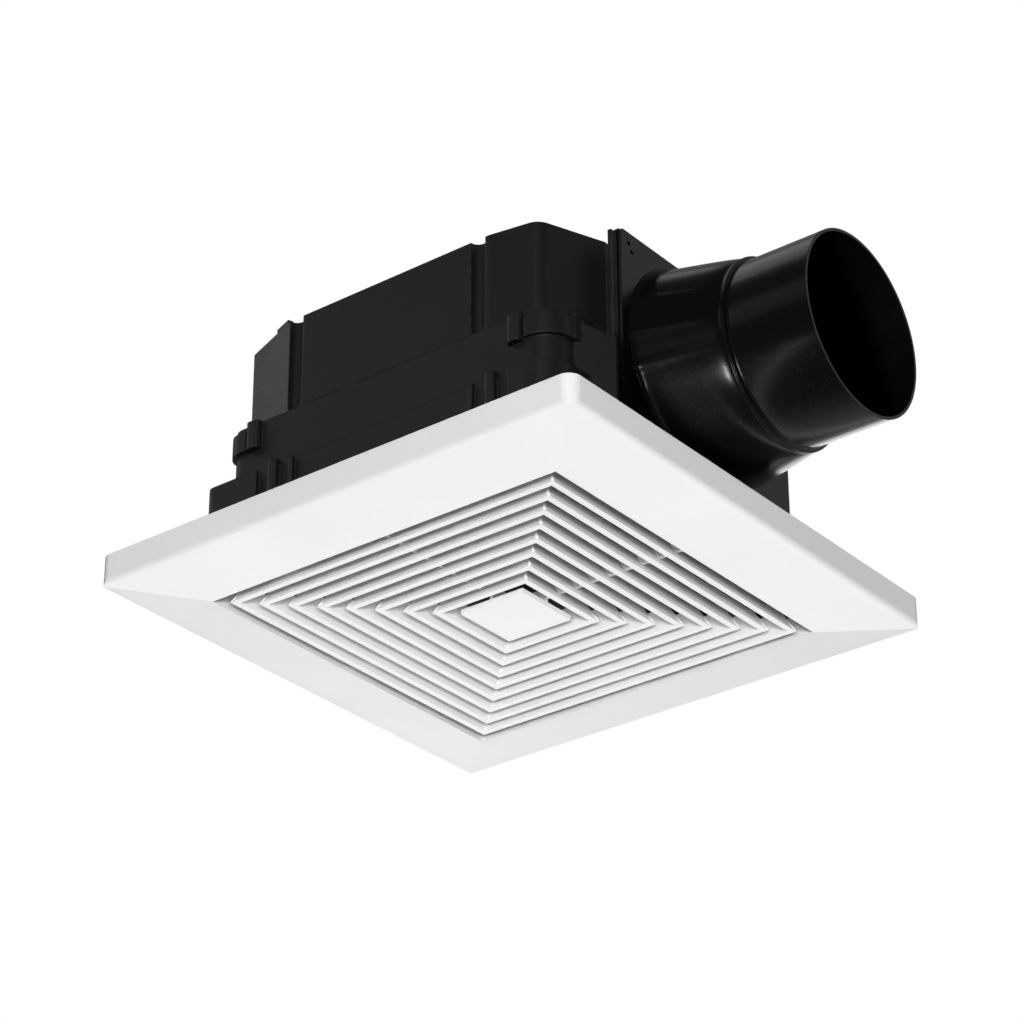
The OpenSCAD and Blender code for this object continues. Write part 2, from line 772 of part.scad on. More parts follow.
module upper_cover() {
  color([0.13, 0.13, 0.14])
    difference() {
      union() {
        difference() {
          translate([0, 0, joint_z])
            linear_extrude(body_top_z - joint_z)
              polygon(fillet(cover_plan, cover_radii));
          translate([0, 0, joint_z - 1])
            linear_extrude(roof_z - joint_z + 1)
              polygon(fillet(inset(cover_plan, body_wall), less(cover_radii, body_wall)));
        }
        intersection() {
          grooves(groove_r + body_wall, 0);
          translate([0, 0, joint_z])
            linear_extrude(body_top_z - joint_z)
              polygon(fillet(cover_plan, cover_radii));
        }
        outlet_frame(joint_z, outlet_high);
        for (p = cover_bosses)
          translate([p[0], p[1], joint_z])
            cylinder(r = boss_r, h = roof_z - joint_z + eps);
        // posts that the motor plate hangs from
        for (p = plate_posts)
          translate([p[0], p[1], motor_plate_top])
            cylinder(r = boss_r, h = roof_z - motor_plate_top + eps);
        // hook on the cut corner's upper edge
        translate([25 - body_half, 5.3 - body_half, body_top_z - 0.5])
          rotate([0, 0, -20])
            cube([12, 3, 3]);
        // stiffening ribs on the roof
        for (a = [0 : 30 : 150])
          translate([fan_x, fan_y, body_top_z - eps])
            rotate([0, 0, a])
              translate([-motor_r - 4, -0.8, 0])
                cube([2 * motor_r + 8, 1.6, 1.2]);
      }
      grooves(groove_r, 1);
      outlet_passage();
      for (p = cover_bosses)
        translate([p[0], p[1], joint_z - 1])
          cylinder(r = cover_screw_r + fit, h = 14, $fn = 24);
      for (p = plate_posts)
        translate([p[0], p[1], motor_plate_top - 1])
          cylinder(r = cover_screw_r + fit, h = 9, $fn = 24);
    }
}

module screw(r, head_r, head_h, h) {
  // head below the origin, shank up
  cylinder(r = r, h = h, $fn = 24);
  translate([0, 0, -head_h])
    difference() {
      cylinder(r = head_r, h = head_h, $fn = 24);
      translate([0, 0, head_h / 2 - 0.6])
        cube([head_r * 1.2, 0.8, head_h + 0.1], center = true);
      translate([0, 0, head_h / 2 - 0.6])
        cube([0.8, head_r * 1.2, head_h + 0.1], center = true);
    }
}

module cover_screws() {
  color("silver")
    for (p = cover_bosses)
      translate([p[0], p[1], boss_low_z])
        screw(cover_screw_r, 3.4, 2.2, joint_z - boss_low_z + 11);
}

module inlet_screws() {
  color("silver")
    for (p = inlet_bosses)
      translate([p[0], p[1], inlet_z])
        screw(cover_screw_r, 3.4, 2.2, inlet_t + inlet_boss_h - 1);
}

// Scroll casing: spiral wall with its outlet throat.
throat_x = body_half - 17;
scroll_plan = concat(
  [for (a = [scroll_start : 6 : scroll_end]) [fan_x + spiral(a) * cos(a), fan_y + spiral(a) * sin(a)]],
  [[throat_x - 40, fan_y - spiral(scroll_end)], [throat_x, -throat_w / 2],
    [outlet_x - scroll_wall, -throat_w / 2], [outlet_x - scroll_wall, throat_w / 2],
    [throat_x - 8, throat_w / 2]]);
module scroll_casing() {
  color([0.2, 0.2, 0.21])
    difference() {
      translate([0, 0, scroll_z])
        linear_extrude(scroll_top_z - scroll_z)
          polygon(inset(scroll_plan, -scroll_wall));
      translate([0, 0, scroll_z - 1])
        linear_extrude(scroll_top_z - scroll_z + 2)
          polygon(scroll_plan);
      translate([throat_x, -throat_w / 2, scroll_z - 1])
        cube([outlet_x, throat_w, scroll_top_z - scroll_z + 2]);
    }
}

// Inlet ring: bottom of the scroll, with the bell mouth.
bell_round = 12;
ring_half = body_half - body_wall - 1.8;
notch_x = spring_x - 26;
ring_notch_y = spring_y - slot_y_half - 1.6;
bell_arc = [for (k = [0 : 8]) 270 - 90 * k / 8];
function bell_at(r) = [for (a = bell_arc) [bell_r + bell_round + r * cos(a), bell_round + r * sin(a)]];
bell_flat = bell_at(bell_round - inlet_t);
bell_profile = concat(
  [[bell_r + bell_round + 1, 0]], bell_at(bell_round),
  [[bell_r, bell_h], [bell_r + inlet_t, bell_h]],
  [for (i = [len(bell_arc) - 1 : -1 : 0]) bell_flat[i]],
  [[bell_r + bell_round + 1, inlet_t]]);
module inlet_ring() {
  color([0.22, 0.22, 0.23]) {
    difference() {
      translate([0, 0, inlet_z])
        linear_extrude(inlet_t)
          difference() {
            union() {
              rounded_square(ring_half, 8);
              translate([0, -throat_w / 2 - scroll_wall])
                square([outlet_x - 1, throat_w + 2 * scroll_wall]);
            }
            // room for the grille springs' legs
            translate([-ring_half - 1, -ring_half - 1])
              square([ring_half + 1 - notch_x, ring_half + 1 - ring_notch_y]);
            translate([notch_x, ring_notch_y])
              square([ring_half + 1 - notch_x, ring_half]);
            // room for the wiring pocket
            translate([-ring_half - 1, pocket_edge - pocket_wall - 0.8])
              square([ring_half + 1 - pocket_edge + pocket_wall + 0.8, ring_half]);
            translate([fan_x, fan_y])
              circle(bell_r + bell_round, $fn = 72);
          }
      for (p = inlet_bosses)
        translate([p[0], p[1], inlet_z - 1])
          cylinder(r = cover_screw_r + fit, h = inlet_t + 2, $fn = 24);
    }
    translate([fan_x, fan_y, inlet_z])
      rotate_extrude($fn = 72)
        polygon(bell_profile);
  }
}

// Motor plate: steel roof of the scroll.
post_ring = scroll_r0 + 5;
plate_posts = [for (a = [150, 235, 300, 10]) [fan_x + post_ring * cos(a), fan_y + post_ring * sin(a)]];
bush_ring = motor_r + 6;
bush_r = 5;
bush_h = 6;
ear_t = 1.5;
hang_screw_r = 1.9;
bush_places = [for (a = [90, 210, 330]) [fan_x + bush_ring * cos(a), fan_y + bush_ring * sin(a)]];
module motor_plate() {
  color([0.62, 0.64, 0.66])
    translate([0, 0, scroll_top_z])
      difference() {
        linear_extrude(motor_plate_t)
          polygon(inset([for (p = scroll_plan) [min(p[0], outlet_x - 3), p[1]]], -scroll_wall));
        for (p = concat(bush_places, plate_posts))
          translate([p[0], p[1], -1])
            cylinder(r = hang_screw_r + 0.1, h = motor_plate_t + 2, $fn = 24);
      }
}

module plate_screws() {
  color("silver")
    for (p = plate_posts)
      translate([p[0], p[1], scroll_top_z])
        screw(cover_screw_r, 3.2, 1.6, motor_plate_t + 7);
}

// Motor, hung under the plate inside the impeller.
motor_wall = 1.2;
ear_top = scroll_top_z - bush_h;
case_top = ear_top;
case_split = case_top - 18;
case_low = case_top - 36;
bearing_r = 11;
bearing_w = 7;
hub_wall = 2;
upper_hub_top = case_top + 4;
lower_hub_low = case_low - 6;
stack_low = case_top - 28;
stack_h = 20;
stator_r = motor_r - motor_wall - fit;
bore_r = 23;
tooth_root_r = 34;
module at_fan() {
  translate([fan_x, fan_y, 0])
    children();
}

module motor_case_upper() {
  color([0.7, 0.71, 0.72])
    at_fan()
      difference() {
        union() {
          translate([0, 0, case_split])
            cylinder(r = motor_r, h = case_top - case_split);
          translate([0, 0, case_top - eps])
            cylinder(r = bearing_r + hub_wall, h = upper_hub_top - case_top);
          for (a = [90, 210, 330])
            rotate([0, 0, a])
              translate([0, 0, case_top - ear_t]) {
                translate([motor_r - 6, -6, 0])
                  cube([bush_ring - motor_r + 6, 12, ear_t]);
                translate([bush_ring, 0, 0])
                  cylinder(r = 6, h = ear_t);
              }
        }
        translate([0, 0, case_split - 1])
          cylinder(r = motor_r - motor_wall, h = case_top - case_split - motor_wall + 1);
        translate([0, 0, upper_hub_top - bearing_w - 1.2])
          cylinder(r = bearing_r + fit, h = bearing_w);
        translate([0, 0, case_low])
          cylinder(r = shaft_r + 2, h = upper_hub_top - case_low - 2);
        for (a = [90, 210, 330])
          rotate([0, 0, a])
            translate([bush_ring, 0, case_top - ear_t - 1])
              cylinder(r = hang_screw_r + 0.1, h = ear_t + 2, $fn = 24);
        // vent windows
        for (a = [30 : 60 : 330])
          rotate([0, 0, a])
            translate([20, -4, case_top - motor_wall - 1])
              cube([12, 8, motor_wall + 2]);
      }
}

module motor_case_lower() {
  color([0.68, 0.69, 0.7])
    at_fan()
      difference() {
        union() {
          translate([0, 0, case_low])
            cylinder(r = motor_r, h = case_split - case_low);
          translate([0, 0, lower_hub_low])
            cylinder(r = bearing_r + hub_wall, h = case_low - lower_hub_low + eps);
        }
        translate([0, 0, case_low + motor_wall])
          cylinder(r = motor_r - motor_wall, h = case_split - case_low);
        translate([0, 0, lower_hub_low + 1.2])
          cylinder(r = bearing_r + fit, h = bearing_w);
        translate([0, 0, lower_hub_low - 1])
          cylinder(r = shaft_r + 2, h = 12);
        for (a = [30 : 60 : 330])
          rotate([0, 0, a])
            translate([20, -4, case_low - 1])
              cube([12, 8, motor_wall + 2]);
      }
}

slots = 12;
module stator_core() {
  color([0.45, 0.46, 0.48])
    at_fan()
      translate([0, 0, stack_low])
        linear_extrude(stack_h)
          difference() {
            circle(stator_r, $fn = 72);
            circle(bore_r + 0.4, $fn = 72);
            for (k = [0 : slots - 1])
              rotate([0, 0, 360 * k / slots])
                translate([26, -2.2])
                  square([tooth_root_r - 26, 4.4]);
          }
}

module stator_windings() {
  color([0.72, 0.36, 0.16])
    at_fan() {
      for (z = [stack_low - 4.5, stack_low + stack_h + gap])
        translate([0, 0, z])
          rotate_extrude()
            translate([26.4, 0])
              square([tooth_root_r - 26.8, 4.5 - gap]);
      for (k = [0 : slots - 1])
        rotate([0, 0, 360 * k / slots])
          translate([26.4, -1.9, stack_low - 1])
            cube([tooth_root_r - 26.8, 3.8, stack_h + 2]);
    }
}

module rotor_core() {
  color([0.5, 0.51, 0.52])
    at_fan()
      translate([0, 0, stack_low])
        difference() {
          union() {
            cylinder(r = bore_r - gap, h = stack_h);
            translate([0, 0, -2.5])
              cylinder(r = bore_r - 4, h = stack_h + 5);
          }
          translate([0, 0, -4])
            cylinder(r = shaft_r + 0.02, h = stack_h + 8);
        }
}

shaft_low = wheel_z + 4;
module motor_shaft() {
  color([0.8, 0.8, 0.82])
    at_fan()
      translate([0, 0, shaft_low])
        cylinder(r = shaft_r, h = upper_hub_top - 1.7 - shaft_low);
}

module ball_bearing(z) {
  color([0.75, 0.75, 0.77])
    at_fan()
      translate([0, 0, z])
        rotate_extrude()
          difference() {
            translate([shaft_r + fit, 0])
              square([bearing_r - shaft_r - fit, bearing_w]);
            for (y = [-eps, bearing_w - 0.5])
              translate([shaft_r + 2.2, y])
                square([bearing_r - shaft_r - 4.4, 0.5 + eps]);
          }
}
module bearing_upper() { ball_bearing(upper_hub_top - bearing_w - 1.2); }
module bearing_lower() { ball_bearing(lower_hub_low + 1.2); }

module motor_bushes() {
  color([0.08, 0.08, 0.08])
    for (p = bush_places)
      translate([p[0], p[1], ear_top])
        rotate_extrude()
          difference() {
            translate([hang_screw_r + fit, 0])
              square([bush_r - hang_screw_r - fit, bush_h]);
            translate([bush_r + 0.8, bush_h / 2])
              circle(1.8, $fn = 24);
          }
}

module motor_screws() {
  color("silver")
    for (p = bush_places)
      translate([p[0], p[1], motor_plate_top])
        mirror([0, 0, 1])
          screw(hang_screw_r, 3.6, 2, motor_plate_t + bush_h + ear_t + 1.5);
}

// Impeller: forward-curved blades between two rings, on a disc and hub.
disc_z = wheel_z + 18;
disc_t = 2.5;
hub_r = 9;
hub_h = 9;
ring_in_r = wheel_r - 9;
ring_t = 2.5;
blade_sweep = 8;
blade_steps = 6;
function blade_mid(u) = let (r = blade_in_r + (wheel_r - 1 - blade_in_r) * u, a = blade_sweep * u * u)
  [r * cos(a), r * sin(a)];
function blade_side(s) = [for (k = [0 : blade_steps])
  let (u = k / blade_steps, d = unit(blade_mid(u + 0.01) - blade_mid(u - 0.01)))
  blade_mid(u) + s * blade_t / 2 * left_of(d)];
module impeller() {
  color([0.25, 0.25, 0.27])
    at_fan() {
      for (k = [0 : blade_count - 1])
        rotate([0, 0, 360 * k / blade_count])
          translate([0, 0, wheel_z + 0.5])
            linear_extrude(wheel_top_z - wheel_z - 1)
              polygon(concat(blade_side(-1), [for (i = [blade_steps : -1 : 0]) blade_side(1)[i]]));
      for (z = [wheel_z, wheel_top_z - ring_t])
        translate([0, 0, z])
          rotate_extrude($fn = 96)
            translate([ring_in_r, 0])
              square([wheel_r - ring_in_r, ring_t]);
      difference() {
        translate([0, 0, disc_z])
          rotate_extrude($fn = 96)
            union() {
              square([wheel_r - 2, disc_t]);
              translate([0, disc_t - hub_h])
                square([hub_r, hub_h]);
            }
        translate([0, 0, disc_z - hub_h])
          cylinder(r = shaft_r + 0.02, h = hub_h + disc_t + 2);
        for (a = [0 : 60 : 300])
          rotate([0, 0, a])
            translate([34, 0, disc_z - 1])
              cylinder(r = 5, h = disc_t + 2, $fn = 24);
      }
    }
}

washer_t = 1.5;
nut_h = 5;
hub_low = disc_z + disc_t - hub_h;
module impeller_washer() {
  color("silver")
    at_fan()
      translate([0, 0, hub_low - washer_t])
        difference() {
          cylinder(r = hub_r - 1, h = washer_t);
          translate([0, 0, -1])
            cylinder(r = shaft_r + fit, h = washer_t + 2);
        }
}

module impeller_nut() {
  color("silver")
    at_fan()
      translate([0, 0, hub_low - washer_t - nut_h])
        difference() {
          cylinder(r = 7.5, h = nut_h, $fn = 6);
          translate([0, 0, -1])
            cylinder(r = shaft_r + 0.02, h = nut_h + 2);
        }
}

// Wiring: capacitor, terminals, cover and gland in the corner pocket.
cap_x = 18 - skirt_half;
cap_y = skirt_half - 13;
cap_size = [24, 12, 20];
cap_z = skirt_h - body_wall - cap_size[2];
clip_t = 0.8;
module capacitor() {
  color([0.9, 0.9, 0.88])
    translate([cap_x - cap_size[0] / 2, cap_y - cap_size[1] / 2, cap_z])
      cube(cap_size);
}

module capacitor_clip() {
  color("silver")
    translate([cap_x - 4, cap_y - cap_size[1] / 2 - clip_t, cap_z - clip_t])
      difference() {
        cube([8, cap_size[1] + 2 * clip_t, cap_size[2] + clip_t]);
        translate([-1, clip_t, clip_t])
          cube([10, cap_size[1], cap_size[2] + 1]);
      }
}

block_size = [26, 14, 13];
block_pos = [7 - skirt_half, pocket_edge + 2, skirt_h - body_wall - block_size[2]];
module terminal_block() {
  color([0.85, 0.85, 0.82])
    translate(block_pos)
      difference() {
        cube(block_size);
        for (i = [0 : 2]) {
          translate([5 + 8 * i, block_size[1] / 2, -1])
            cylinder(r = 2.2, h = 6, $fn = 24);
          translate([5 + 8 * i, block_size[1] + 1, 8])
            rotate([90, 0, 0])
              cylinder(r = 1.6, h = block_size[1] + 2, $fn = 24);
        }
      }
}

module terminal_screws() {
  color([0.8, 0.7, 0.4])
    for (i = [0 : 2])
      translate([block_pos[0] + 5 + 8 * i, block_pos[1] + block_size[1] / 2, block_pos[2] + 2.5])
        screw(1.2, 2, 1.2, 2.5);
}

cover_t = 1.6;
module terminal_cover() {
  color([0.16, 0.16, 0.17])
    translate([0, 0, pocket_z - cover_t])
      linear_extrude(cover_t)
        intersection() {
          translate([-skirt_half, pocket_edge - pocket_wall])
            square(skirt_half - pocket_edge + pocket_wall);
          skirt_plan(-body_wall - gap);
        }
}

gland_r = 6;
gland_y = skirt_half - 19;
gland_z = 16;
module cable_gland() {
  color([0.06, 0.06, 0.06])
    translate([-skirt_half - pad_out - 2, gland_y, gland_z])
      rotate([0, 90, 0])
        difference() {
          union() {
            cylinder(r = gland_r + 2.5, h = 2);
            cylinder(r = gland_r, h = pad_out + body_wall + 4);
            translate([0, 0, pad_out + body_wall + 2 + gap])
              cylinder(r = gland_r + 1.5, h = 2);
          }
          translate([0, 0, -1])
            cylinder(r = 3.5, h = 20);
        }
}

// Duct adaptor: plate, square-to-round taper, bead and spigot.
taper_corner_r = 50;
seat_t = 2.5;
adaptor_screw_r = 1.9;
adaptor_screws_at = [[-outlet_side + 8, outlet_low + 7], [outlet_side - 8, outlet_low + 7]];
pin_up = 40;
pin_x = taper_x + 6.2;
ear_at = 22;
ear_w = 5;
pin_half = ear_at + ear_w + 1;
module adaptor_screw_holes(extra) {
  for (p = adaptor_screws_at)
    translate([outlet_x - outlet_lip - 1, p[0], p[1]])
      rotate([0, 90, 0])
        cylinder(r = adaptor_screw_r + extra, h = 30, $fn = 24);
}

module plate_outline(t) {
  translate([0, plate_z])
    rounded_rect(plate_w - 2 * t, plate_h - 2 * t, plate_corner_r - t);
}

module taper_skin(t) {
  hull() {
    along_x(taper_x - (t > 0 ? 0.5 : 1))
      linear_extrude(1)
        translate([0, taper_z])
          rounded_rect(taper_w - 2 * t, taper_h - 2 * t, taper_corner_r - t);
    along_x(bead_x - (t > 0 ? 0.5 : 1))
      linear_extrude(1)
        translate([0, duct_z])
          circle(t > 0 ? spigot_in_r : bead_r - 0.8, $fn = 64);
  }
}

// soft ridges along the taper's sides, in two layers
ridge_angles = [164, 181, 197];
module taper_ridges() {
  for (layer = [[3.6, -0.6], [1.8, -1.1]])
    intersection() {
      for (a = ridge_angles)
        for (k = [0, 1])
          mirror([0, k, 0])
            translate([taper_x - 1, 0, duct_z])
              rotate([a, 0, 0])
                translate([0, 0, -layer[0] / 2])
                  cube([taper_len + 1, taper_w, layer[0]]);
      taper_skin(layer[1]);
    }
  // tab on the bead's near side
  along_x(bead_x - 2.4)
    translate([0, duct_z, 0])
      rotate_extrude(start = 176, angle = 13)
        translate([bead_r - 4, 0])
          square([4, 3]);
}

module duct_adaptor() {
  color([0.15, 0.15, 0.16])
    difference() {
      union() {
        along_x(plate_x)
          linear_extrude(plate_t - 2)
            plate_outline(0);
        along_x(plate_x + plate_t - 2 - eps)
          linear_extrude(2 + eps)
            plate_outline(0.8);
        taper_skin(0);
        taper_ridges();
        along_x(bead_x)
          translate([0, duct_z, 0])
            rotate_extrude($fn = 96)
              polygon([[0, -1], [bead_r - 1, -1], [bead_r, -0.3], [bead_r, bead_w - 0.8],
                [bead_r - 0.8, bead_w], [0, bead_w]]);
        along_x(bead_x)
          translate([0, duct_z, 0])
            cylinder(r = spigot_r, h = bead_w + spigot_len, $fn = 96);
      }
      difference() {
        union() {
          taper_skin(2);
          along_x(plate_x - 1)
            linear_extrude(plate_t + 1)
              translate([0, taper_z])
                rounded_rect(taper_w - 4, taper_h - 4, taper_corner_r - 2);
        }
        // seat of the flap and the ears of its pin
        along_x(taper_x - 1)
          linear_extrude(seat_t)
            difference() {
              translate([0, taper_z])
                rounded_rect(taper_w, taper_h, taper_corner_r);
              translate([0, duct_z])
                circle(seat_r, $fn = 72);
            }
        for (side = [-1, 1])
          translate([taper_x, side * ear_at - (side > 0 ? 0 : ear_w), duct_z + pin_up - 3])
            cube([pin_x - taper_x + 2.6, ear_w, 6]);
      }
      along_x(bead_x - 1)
        translate([0, duct_z, 0])
          cylinder(r = spigot_in_r, h = spigot_len + bead_w + 3, $fn = 96);
      translate([pin_x, 0, duct_z + pin_up])
        rotate([90, 0, 0])
          cylinder(r = flap_pin_r + 0.02, h = 2 * pin_half + 0.4, center = true, $fn = 24);
      adaptor_screw_holes(0.2);
      // hook slots at the plate's upper corners
      for (side = [-1, 1])
        for (p = [[7.4, 7.2], [9.9, 11.3]])
          translate([plate_x - 1, side * (outlet_side - p[0]), outlet_high - p[1]])
            rotate([0, 90, 0])
              cylinder(r = 1.3, h = plate_t + 2, $fn = 24);
    }
}

module adaptor_gasket() {
  color([0.1, 0.1, 0.1])
    along_x(outlet_x)
      linear_extrude(gasket_t)
        difference() {
          plate_outline(0);
          translate([0, taper_z])
            rounded_rect(throat_w + 2 * scroll_wall, taper_h - 4, 12);
          for (p = adaptor_screws_at)
            translate(p)
              circle(adaptor_screw_r + 0.3, $fn = 24);
        }
}

module adaptor_screws() {
  color("silver")
    for (p = adaptor_screws_at)
      translate([plate_x + plate_t, p[0], p[1]])
        rotate([0, -90, 0])
          screw(adaptor_screw_r, 3.8, 2.2, plate_t + gasket_t + outlet_lip);
}

lug_w = 6;
lug_at = 14;
module damper_flap() {
  color([0.18, 0.18, 0.19])
    difference() {
      union() {
        intersection() {
          translate([taper_x + seat_t - 1 + gap, 0, duct_z])
            rotate([0, 90, 0])
              cylinder(r = flap_r, h = flap_t, $fn = 72);
          translate([taper_x, -flap_r - 1, duct_z - flap_r - 1])
            cube([10, 2 * flap_r + 2, flap_r + 1 + pin_up - 1]);
        }
        for (side = [-1, 1])
          translate([0, side * lug_at - lug_w / 2, 0]) {
            translate([pin_x, 0, duct_z + pin_up])
              rotate([-90, 0, 0])
                cylinder(r = flap_pin_r + 1.2, h = lug_w, $fn = 24);
            translate([taper_x + seat_t - 1 + gap, 0, duct_z + pin_up - 9])
              cube([pin_x - taper_x - seat_t + 1 - gap + 1.2, lug_w, 8]);
          }
        // stiffening ribs of the flap
        for (z = [-22, 0, 20])
          translate([taper_x + seat_t - 1 + gap + flap_t - eps, -34, duct_z + z])
            cube([1.2, 68, 1.4]);
      }
      translate([pin_x, 0, duct_z + pin_up])
        rotate([90, 0, 0])
          cylinder(r = flap_pin_r + fit, h = 60, center = true, $fn = 24);
    }
}

module damper_pin() {
  color("silver")
    translate([pin_x, 0, duct_z + pin_up])
      rotate([90, 0, 0])
        cylinder(r = flap_pin_r, h = 2 * pin_half, center = true, $fn = 24);
}

grille_panel();
spring_left_coil();
spring_left_leg_a();
spring_left_leg_b();
spring_right_coil();
spring_right_leg_a();
spring_right_leg_b();
main_housing();
upper_cover();
cover_screws();
scroll_casing();
inlet_ring();
inlet_screws();
motor_plate();
plate_screws();
motor_case_upper();
motor_case_lower();
stator_core();
stator_windings();
rotor_core();
motor_shaft();
bearing_upper();
bearing_lower();
motor_bushes();
motor_screws();
impeller();
impeller_washer();
impeller_nut();
capacitor();
capacitor_clip();
terminal_block();
terminal_screws();
terminal_cover();
cable_gland();
duct_adaptor();
adaptor_gasket();
adaptor_screws();
damper_flap();
damper_pin();
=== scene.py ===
"""Looks of the ceiling exhaust fan: the photograph's camera and light, a procedural material for
every CAD node, and three moulded skins over forms that the CAD keeps plain. Light is in metres and
watts; the skins are worked out in millimetres and scaled once, where their points are made."""
import math

import bmesh
import bpy
from mathutils import Matrix, Vector


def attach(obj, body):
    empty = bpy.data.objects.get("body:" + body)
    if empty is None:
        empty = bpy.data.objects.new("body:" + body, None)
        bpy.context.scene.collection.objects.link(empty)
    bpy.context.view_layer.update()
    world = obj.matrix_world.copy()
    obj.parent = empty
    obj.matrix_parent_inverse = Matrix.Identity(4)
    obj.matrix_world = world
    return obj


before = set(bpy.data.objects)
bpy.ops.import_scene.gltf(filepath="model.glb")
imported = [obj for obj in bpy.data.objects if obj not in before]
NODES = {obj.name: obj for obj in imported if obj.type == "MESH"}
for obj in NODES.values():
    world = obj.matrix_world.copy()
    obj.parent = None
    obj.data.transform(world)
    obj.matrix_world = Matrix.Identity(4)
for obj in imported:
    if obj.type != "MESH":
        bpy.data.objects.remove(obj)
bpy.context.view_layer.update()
scene = bpy.context.scene
MM = 0.001
CENTRE = (0.0, 0.0, 0.0)

# Camera, fitted to the photograph; BACK points from the part to the camera
BACK = Vector((0.54267, -0.69323, -0.47430)).normalized()
LEVEL_RIGHT = Vector((0.78743, 0.61641, 0.0)).normalized()
CAMERA_PLACE = Vector((0.936706, -1.199470, -0.780452))
CAMERA_ROLL = math.radians(-0.1837)
CAMERA_NEAR = 0.05
CAMERA_FAR = 60.0
FRAME_PX = 1024.0
FOCAL_PX = 3334.2577
SENSOR_MM = 36.0

# Studio: a white backdrop that gives little light in front of the part and more behind it. The floor
# shades the lower reaches of the panel's lamps, so a change of its height changes the panel's tone.
BACKDROP = (1.0, 1.0, 1.0, 1.0)
LIGHT_IN_FRONT = 0.035
LIGHT_BEHIND = 0.35
FULLY_BEHIND = 0.8
FLOOR_Z = -1.45
FLOOR_HALF = 40.0
FLOOR_CELLS = 8
FLOOR_TONE = (0.83, 0.83, 0.82, 1.0)
FLOOR_ROUGH = 0.85
SUN_ANGLE = math.radians(25.0)
AXIS_LAMP = 4.0

# Which lamps a CAD node takes light from; a node that isn't named here belongs to the housing
RECEIVER = {"grille_panel": "white", "duct_adaptor": "duct"}

# Lamps: what they light, name, place, target, size and power; the one without a size is a sun
LAMPS = [
    ("white", "white_under", (-0.55, 0.65, -1.35), CENTRE, (2.8, 2.8), 33.5),
    ("white", "white_low", (-2.2, 2.4, -0.9), CENTRE, (1.2, 1.2), 5.0),
    ("white", "white_axis", BACK * AXIS_LAMP, CENTRE, (2.4, 2.4), 530.0),
    ("white", "white_above", (0.3, -0.9, 2.0), (0.1, -0.1, 0.0), (1.6, 1.2), 11.0),
    ("floor", "floor_sun", CENTRE, (0.1, 0.15, -1.0), None, 2.9),
    ("housing", "body_front", (0.9, -1.9, -0.1), (0.0, 0.0, 0.05), (1.0, 0.8), 17.0),
    ("housing", "body_left", (-1.80, -0.60, 1.16), (-0.08, -0.09, 0.1), (0.8, 0.8), 2.0),
    ("housing", "body_over", (-1.2, -1.5, 1.1), (0.0, -0.1, 0.06), (1.5, 1.2), 1.1),
    ("housing", "body_right", (2.0, 0.45, 1.4), (0.1, 0.0, 0.08), (0.9, 0.9), 0.5),
    ("housing", "body_rim", (-1.2, 1.1, 1.55), (0.0, 0.0, 0.08), (1.1, 1.1), 12.0),
    ("housing", "body_back", (-1.7, 2.1, 0.9), (0.0, 0.0, 0.05), (1.6, 1.4), 26.0),
    ("duct", "duct_back", (-1.0, 2.2, 0.7), (0.15, 0.0, 0.05), (1.2, 1.2), 6.0),
    ("duct", "duct_over", (-1.2, 0.1, 2.1), (0.15, 0.0, 0.08), (1.3, 1.5), 3.2),
    ("duct", "duct_left", (-1.1, -1.5, 1.0), (0.15, 0.0, 0.08), (1.0, 0.8), 0.5),
    ("duct", "duct_front", (0.25, -2.0, 0.3), (0.15, 0.0, 0.05), (0.8, 0.6), 0.15),
    ("duct", "duct_spot", (0.462, -1.096, -0.659), (0.1637, -0.0426, 0.0432), (0.12, 0.34), 3.0),
]


def add_camera():
    level_up = BACK.cross(LEVEL_RIGHT).normalized()
    right = math.cos(CAMERA_ROLL) * LEVEL_RIGHT + math.sin(CAMERA_ROLL) * level_up
    up = math.cos(CAMERA_ROLL) * level_up - math.sin(CAMERA_ROLL) * LEVEL_RIGHT
    data = bpy.data.cameras.new("camera")
    data.sensor_width = SENSOR_MM
    data.lens = FOCAL_PX * SENSOR_MM / FRAME_PX
    data.clip_start = CAMERA_NEAR
    data.clip_end = CAMERA_FAR
    camera = bpy.data.objects.new("camera", data)
    scene.collection.objects.link(camera)
    place = Matrix((right, up, BACK)).transposed().to_4x4()
    place.translation = CAMERA_PLACE
    camera.matrix_world = place
    scene.camera = camera


def add_world():
    """White to the eye, and as light a studio that is bright behind the object and dim in front."""
    world = bpy.data.worlds.new("studio")
    scene.world = world
    world.use_nodes = True
    tree = world.node_tree
    tree.nodes.clear()
    out = tree.nodes.new("ShaderNodeOutputWorld")
    shown = tree.nodes.new("ShaderNodeBackground")
    shown.inputs["Color"].default_value = BACKDROP
    shown.inputs["Strength"].default_value = 1.0
    light = tree.nodes.new("ShaderNodeBackground")
    coords = tree.nodes.new("ShaderNodeTexCoord")
    split = tree.nodes.new("ShaderNodeSeparateXYZ")
    behind = tree.nodes.new("ShaderNodeMapRange")
    behind.interpolation_type = "SMOOTHSTEP"
    behind.inputs["From Min"].default_value = 0.0
    behind.inputs["From Max"].default_value = FULLY_BEHIND
    behind.inputs["To Min"].default_value = LIGHT_IN_FRONT
    behind.inputs["To Max"].default_value = LIGHT_BEHIND
    path = tree.nodes.new("ShaderNodeLightPath")
    mix = tree.nodes.new("ShaderNodeMixShader")
    tree.links.new(coords.outputs["Generated"], split.inputs[0])
    tree.links.new(split.outputs["Y"], behind.inputs["Value"])
    tree.links.new(behind.outputs["Result"], light.inputs["Strength"])
    tree.links.new(path.outputs["Is Camera Ray"], mix.inputs[0])
    tree.links.new(light.outputs[0], mix.inputs[1])
    tree.links.new(shown.outputs[0], mix.inputs[2])
    tree.links.new(mix.outputs[0], out.inputs["Surface"])


